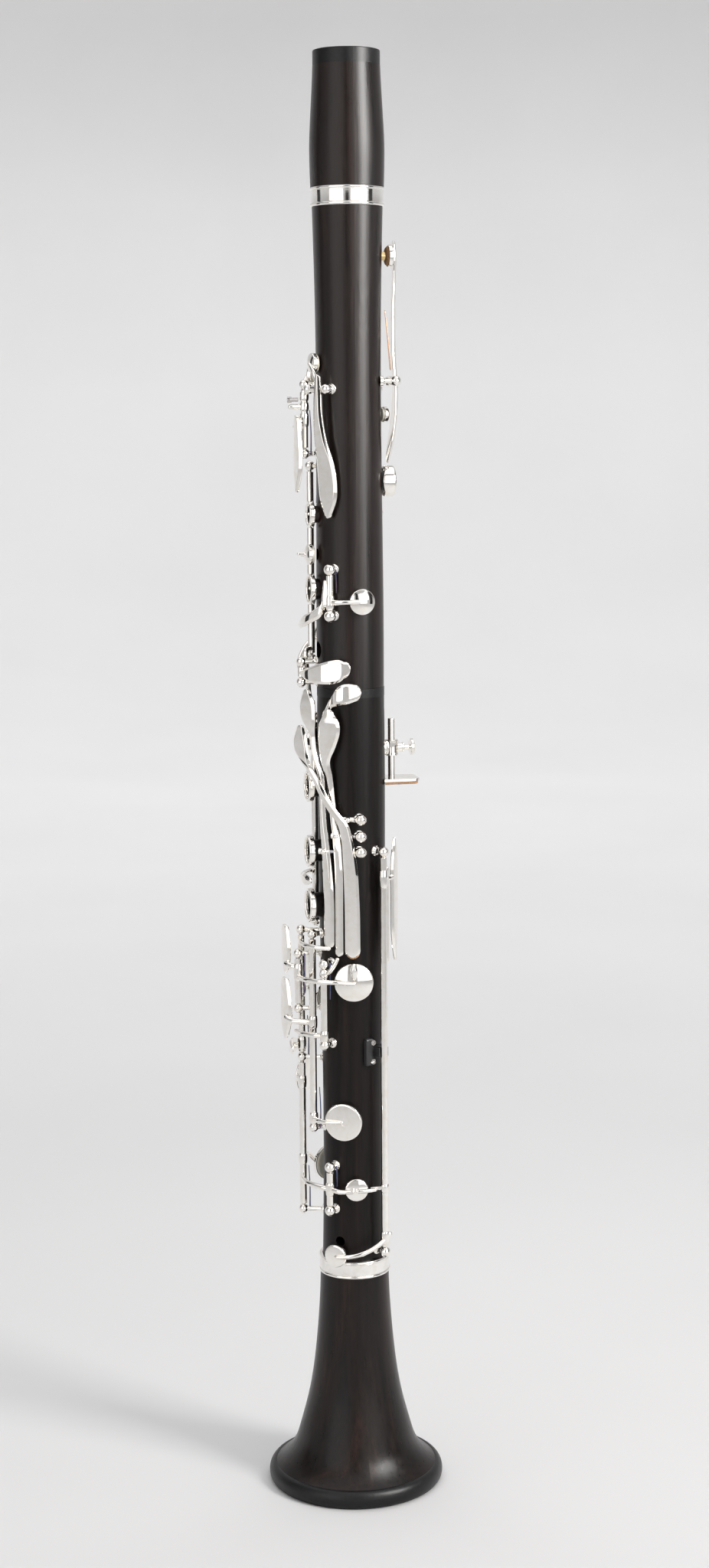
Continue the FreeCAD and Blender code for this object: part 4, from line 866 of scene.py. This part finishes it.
def correction_key():
    angle, r = 122.5, 19.8
    body = upright_hinge(angle, r, 111.5, 294, 2.4)
    touch = leaf([(0, -28), (3, -12), (3.6, 10), (2.6, 22), (0, 27.5), (-2.6, 20), (-3.4, 0), (-2.4, -20)],
                 147, 272, 19.6, 20.9)
    spine = bar([(128.5, 20, 246, 3.2, 1.2), (128.5, 20, 266, 3.4, 1.2), (128.5, 20, 286, 3, 1.2)])
    joiner = bent([(128, 20, 282), (134, 20.6, 282), (140, 20.4, 282)], 1.1, 0.9)
    low = bent([(128, 20.6, 119.5), (angle, r + 0.4, 118), (105, 19.8, 114.5), (84, 20, 112),
                (64, 20.2, 110.8), (54, 20, 110.5)], 1.3, 1)
    tip = bent([(angle, r, 141.2), (114, 17.8, 141.2), (106.5, 16.8, 141.2)], 1, 0.8)
    shapes = [body, touch, spine, joiner, low, tip, sleeve(angle, r, 118.2, 6), sleeve(angle, r, 141.2, 4),
              sleeve(angle, r, 282, 8)]
    cupped("correction_key", shapes, 51, 110.5, 5.2, 0.4, 16.6 - wood_r(110.5))


def vent_key():
    angle, r = 42, 18.2
    body = upright_hinge(angle, r, 131, 151, 2.4)
    right = bent([(angle, r, 141), (60, 18.9, 140.6), (76, 18.8, 141)], 1.3, 1)
    left = bent([(angle, r, 141), (20, 20.4, 141.4), (2, 22.4, 141.8), (-8, 23.2, 142)], 1.3, 1)
    ear = bent([(84, 18.4, 141), (96, 18.9, 141.1), (107, 19.4, 141.2)], 1.1, 0.85)
    shapes = [body, right, left, ear, sleeve(angle, r, 141, 6)]
    cupped("vent_key", shapes, 82, 141, 5.2, 0.5)
    needle(angle, r, 151, 142, 6)


# ---- thumb rest, guide, rings
def thumb_rest():
    back = radial(180)
    collar_profile = [(1.65, 0), (2.7, 0), (3, 0.3), (3, 0.9), (2.75, 1.3), (2.75, 5.7), (3, 6.1), (3, 6.7),
                      (2.7, 7), (1.65, 7)]
    collar = revolve(collar_profile, np.array([0, REST_Y, 334.5]), UP, 32, closed=True)
    stem_profile = [(0, 0), (3.6, 0), (3.6, 1.4), (3.3, 1.8), (2.2, 2.1), (1.8, 2.6), (1.8, 4.2)]
    stem = revolve(stem_profile, np.array([0, wood_r(SCREW_Z) - 1, SCREW_Z]), back, 32)
    boss_profile = [(1.05, 2.4), (1.9, 2.4), (1.9, 4.6), (2.15, 4.8), (2.15, 5.4), (1.9, 5.6), (1.05, 5.6)]
    boss = revolve(boss_profile, np.array([0, REST_Y, SCREW_Z]), back, 28, closed=True)
    posts["lower"].extend([collar, stem, boss])

    rod = revolve([(0, 0), (1.4, 0), (1.6, 0.2), (1.6, 27), (1.4, 27.4), (0, 27.5)],
                  np.array([0, REST_Y, 323.6]), UP, 28)
    plate_ = saddle_plate(7.5, 29.9, 323.4, 324.7, 3)
    plated("thumb_rest", [rod, plate_])
    cork = saddle_plate(6.9, 29.3, 322.2, 323.4, 2.6)
    soft_pad("thumb_rest_cork", "thumb_rest", [cork], CORK)

    shank = revolve([(0, 1.7), (1, 1.7), (1, 8), (1.6, 8.3), (3.3, 8.4), (3.6, 8.6), (3.6, 9.7), (3.3, 10),
                     (1.2, 10.1), (0, 10)], np.array([0, REST_Y, SCREW_Z]), back, 36)
    plated("thumb_screw", [shank])


def saddle_plate(half, far, z0, z1, corner):
    """Plate across the back of the body: its near edge follows the wood, its far corners are round."""
    near = [(x, math.sqrt(15.45 ** 2 - x ** 2)) for x in np.linspace(-half, half, 17)]
    turns = np.linspace(0, math.pi / 2, 8)
    right = [(half - corner + corner * math.cos(t), far - corner + corner * math.sin(t)) for t in turns]
    left = [(-x, y) for x, y in reversed(right)]
    outline = np.array(near + right + left)
    centre = np.array([0, (far + 15) / 2])
    loops = []
    for z, q in ((z0, 0.97), (z0 + 0.2, 1), (z1 - 0.25, 1), (z1 - 0.07, 0.985), (z1, 0.96)):
        flat = centre + (outline - centre) * q
        flat[:len(near), 1] = outline[:len(near), 1]
        loops.append([(x, y, z) for x, y in flat])
    return loft(loops)


def correction_guide():
    z, w = 203.5, wood_r(203.5)
    shapes = [block(116, w - 0.2, z, (-4.6, -0.4), (-6, 6), (-0.6, 2.2), 0.5),
              block(120, w, z, (-1.8, 3.8), (-2.2, 2.2), (-0.4, 2.2), 0.4),
              block(120, w, z, (-1.8, -1.1), (-2.2, 2.2), (1.8, 5.4), 0.2),
              block(120, w, z, (2.6, 3.8), (-2.2, 2.2), (1.8, 5.4), 0.2)]
    piece("correction_guide", shapes, NYLON, "body")
    screws = []
    for dz in (-4.3, 4.3):
        slot_way = tangent(112) + UP * (0.6 + dz * 0.1)
        screws += slotted(at(112, w + 1.8, z + dz), radial(112), 1.25, 0.75, slot_way)
    piece("guide_screws", screws, STEEL, "body")


def bead_ring(z0, z1, r_in, r_out, bead, waist):
    """Turned socket ring: a rounded bead at each edge and a hollow band between."""
    half = bead / 2

    def edge(z, turns):
        return [(r_out - half + half * math.sin(t), z - half * math.cos(t)) for t in turns]

    top = edge(z1 - half, np.linspace(math.pi * 0.95, 0.12, 9))
    bottom = edge(z0 + half, np.linspace(math.pi - 0.12, math.pi * 0.05, 9))
    band = [(r_out - waist * (1 + 0.25 * math.sin(t)), z1 - bead + (z0 + bead - z1 + bead) * t / math.pi)
            for t in np.linspace(0.12, math.pi - 0.12, 7)]
    return revolve([(r_in, z1)] + top + band + bottom + [(r_in, z0)], np.zeros(3), UP, 128, closed=True)


def rings():
    for node, profile in (("barrel_socket_ring", (572, 580.3, 14.2, 16.05, 1.5, 0.45)),
                          ("bell_socket_ring", (99, 107, 14.6, 16.3, 1.5, 0.4))):
        piece(node, [bead_ring(*profile)], SILVER_TURNED, "body")


def dress_cad():
    """Procedural materials for the CAD nodes whose shapes are used as they are."""
    plain = {"barrel": WOOD_UPPER, "upper_joint": WOOD_UPPER, "lower_joint": WOOD_LOWER, "bell": WOOD_BELL,
             "barrel_top_ring": BLACK, "centre_ring": BLACK, "bell_rim_ring": BLACK,
             "upper_tenon_cork": CORK, "centre_tenon_cork": CORK, "lower_tenon_cork": CORK,
             "register_vent": BRASS, "thumb_bush": EBONITE}
    for name, material in plain.items():
        for material_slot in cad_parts[name].material_slots:
            material_slot.material = material


# ---- studio
CAMERA_PLACE = (1.0785, -0.2279, 0.4873)      # metres
CAMERA_HEADING = (-0.978, 0.208, 0)
CAMERA_TILT, CAMERA_ROLL = -8.52, 0.397       # degrees
CAMERA_LENS, SENSOR = 57.77, 36

# Painted light and shade on the sweep: its reflectance by distance from the middle, along the floor and up
# the wall, is made lighter and darker to stand in for how the lights fall on it.
SWEEP_REACH = 5
SWEEP_PAINTED_LIGHT = ((0, 0.80), (0.35, 0.78), (0.6, 0.76), (1.15, 0.82), (2.2, 0.92), (3.2, 0.87), (3.75, 0.87),
               (4.2, 0.80), (4.55, 0.66))
SWEEP_FLOOR_R, SWEEP_WALL_R, SWEEP_COVE, SWEEP_TOP = 2.3, 3.4, 1.1, 3.4

# Dark cards, seen only as reflections: angle, half width, low and high edge.
CARDS = ((78, 0.18, 0.55, 2), (158, 0.26, 0, 2.2), (-24, 0.26, 0, 2.2))
STAND = 1.9              # cards and side panels from the middle, metres
KEY_ANGLE, KEY_HEIGHT = 134, 0.91


def camera():
    """Camera at the object's left front, slightly above it and looking a little down."""
    data = bpy.data.cameras.new("camera")
    data.lens = CAMERA_LENS
    data.sensor_width = SENSOR
    obj = bpy.data.objects.new("camera", data)
    bpy.context.scene.collection.objects.link(obj)
    heading = Vector(CAMERA_HEADING).normalized()
    tilt, roll = math.radians(CAMERA_TILT), math.radians(CAMERA_ROLL)
    look = heading * math.cos(tilt) + Vector(UP) * math.sin(tilt)
    right = look.cross(Vector(UP)).normalized()
    up = right.cross(look)
    right, up = right * math.cos(roll) - up * math.sin(roll), up * math.cos(roll) + right * math.sin(roll)
    turn = Matrix((right, up, -look)).transposed().to_4x4()
    obj.matrix_world = Matrix.Translation(CAMERA_PLACE) @ turn
    bpy.context.scene.camera = obj


def area_light(name, place, target, wide, high, radiance, colour=(1, 1, 1), sheen=False):
    """Soft box aimed at a target; a sheen box only shows in glossy surfaces."""
    data = bpy.data.lights.new(name, "AREA")
    data.shape = "RECTANGLE"
    data.size, data.size_y = wide, high
    data.energy = radiance * math.pi * wide * high
    data.color = colour
    obj = bpy.data.objects.new(name, data)
    obj.location = place
    obj.rotation_euler = (Vector(target) - Vector(place)).to_track_quat("-Z", "Y").to_euler()
    obj.visible_camera = False
    obj.visible_diffuse = not sheen
    bpy.context.scene.collection.objects.link(obj)
    return obj


def sweep_paint():
    """Matt pale paint with painted light and shade: its brightness follows the distance from the middle, and
    it is slightly mottled.
    """
    s = Surface("painted_sweep")
    flat = s.node("VectorMath", {0: s.stretched((1, 1, 0))}, operation="LENGTH").outputs["Value"]
    height = s.node("SeparateXYZ", {0: s.coords}).outputs["Z"]
    along = s.node("Math", {0: flat, 1: height}).outputs["Value"]
    reach = s.node("MapRange", {"Value": along, "From Max": SWEEP_REACH}).outputs["Result"]
    # painted light and shade: the sweep is made lighter and darker by distance to stand in for the fall of
    # the lights
    tone = s.ramp(reach, *[(d / SWEEP_REACH, (g, g * 0.995, g * 0.995)) for d, g in SWEEP_PAINTED_LIGHT])
    mottle = s.ramp(s.noise(3, 2), (0.3, (0.97, 0.97, 0.97)), (0.7, (1, 1, 1)))
    return s.finish({"Base Color": s.mix(1, tone, mottle), "Roughness": 0.9, "Specular IOR Level": 0})


def studio_object(name, points, cells, material):
    mesh = bpy.data.meshes.new(name)
    mesh.from_pydata([tuple(p) for p in points], [], cells)
    mesh.materials.append(material)
    obj = bpy.data.objects.new(name, mesh)
    bpy.context.scene.collection.objects.link(obj)
    return obj


def studio():
    """Pale bowl-shaped sweep, dark cards, soft lights and a little light from all round."""
    profile = [(0, 0), (0.5, 0), (1.2, 0), (SWEEP_FLOOR_R, 0)]
    profile += [(SWEEP_FLOOR_R + SWEEP_COVE * math.sin(t), SWEEP_COVE * (1 - math.cos(t)))
                for t in np.linspace(0.1, math.pi / 2, 12)]
    profile += [(SWEEP_WALL_R, z) for z in (1.6, 2.4, SWEEP_TOP)]
    points, cells = revolve(profile[::-1], np.zeros(3), UP, 96)
    open_top = [c for c in cells if len(c) == 4 or max(points[i][2] for i in c) < 0.01]
    sweep = studio_object("sweep", points, open_top, sweep_paint())
    sweep.data.shade_smooth()

    corners = []
    for angle, half, low, high in CARDS:
        out, middle = tangent(angle) * half, radial(angle) * STAND
        corners += [middle + out * side + UP * z for side, z in ((-1, low), (1, low), (1, high), (-1, high))]
    quads = [(i, i + 1, i + 2, i + 3) for i in range(0, len(corners), 4)]
    flags = studio_object("dark_cards", corners, quads, rubber_material("flag_cloth", 0.02, 0.03, 0.9))
    flags.visible_camera = False
    flags.visible_shadow = False
    flags.visible_diffuse = False

    key = at(KEY_ANGLE, 1, KEY_HEIGHT)
    for name, radiance, sheen in (("key_panel", 16, False), ("key_sheen", 42, True)):
        area_light(name, key, (0, 0, KEY_HEIGHT), 0.30, 0.70, radiance, (1, 0.985, 0.965), sheen)
    for name, angle in (("left_panel", 43), ("right_panel", 112)):
        area_light(name, at(angle, STAND, 0.95), (0, 0, 0.6), 1.6, 1.9, 1.15, (1, 0.99, 0.965), True)
    wash = area_light("backdrop_panel", at(258, 1.3, 2.7), at(258, 3.3, 0.3), 3, 1, 2.8)
    wash.visible_glossy = False
    area_light("top_panel", (0, 0, 2.9), (0, 0, 0), 3.4, 3.4, 0.69)

    world = bpy.data.worlds.new("studio_air")
    world.use_nodes = True
    air = world.node_tree.nodes["Background"]
    air.inputs["Color"].default_value = (0.9, 0.9, 0.91, 1)
    air.inputs["Strength"].default_value = 0.55
    bpy.context.scene.world = world
    bpy.context.scene.view_settings.view_transform = "Standard"


# ---- everything together
camera()
studio()
dress_cad()
rings()
for make in (register_key, thumb_key, throat_a_key, throat_gs_key, upper_ring_key, sliver_eb_key, cs_gs_key,
             lower_ring_key, bf_sliver_key, fs_cs_lever, lever_cork, ab_eb_key, fs_cs_key, right_hand_keys,
             transfer_key, correction_key, vent_key, thumb_rest, correction_guide):
    make()
for number in range(len(SIDE_KEYS)):
    side_key(number)
for name in LEVERS:
    lh_lever(name)
for joint, shapes in posts.items():
    piece(joint + "_posts", shapes, SILVER, "body")
piece("hinge_steels", steels, STEEL, "body")
piece("needle_springs", needles, SPRING_BLUE, "body", "")
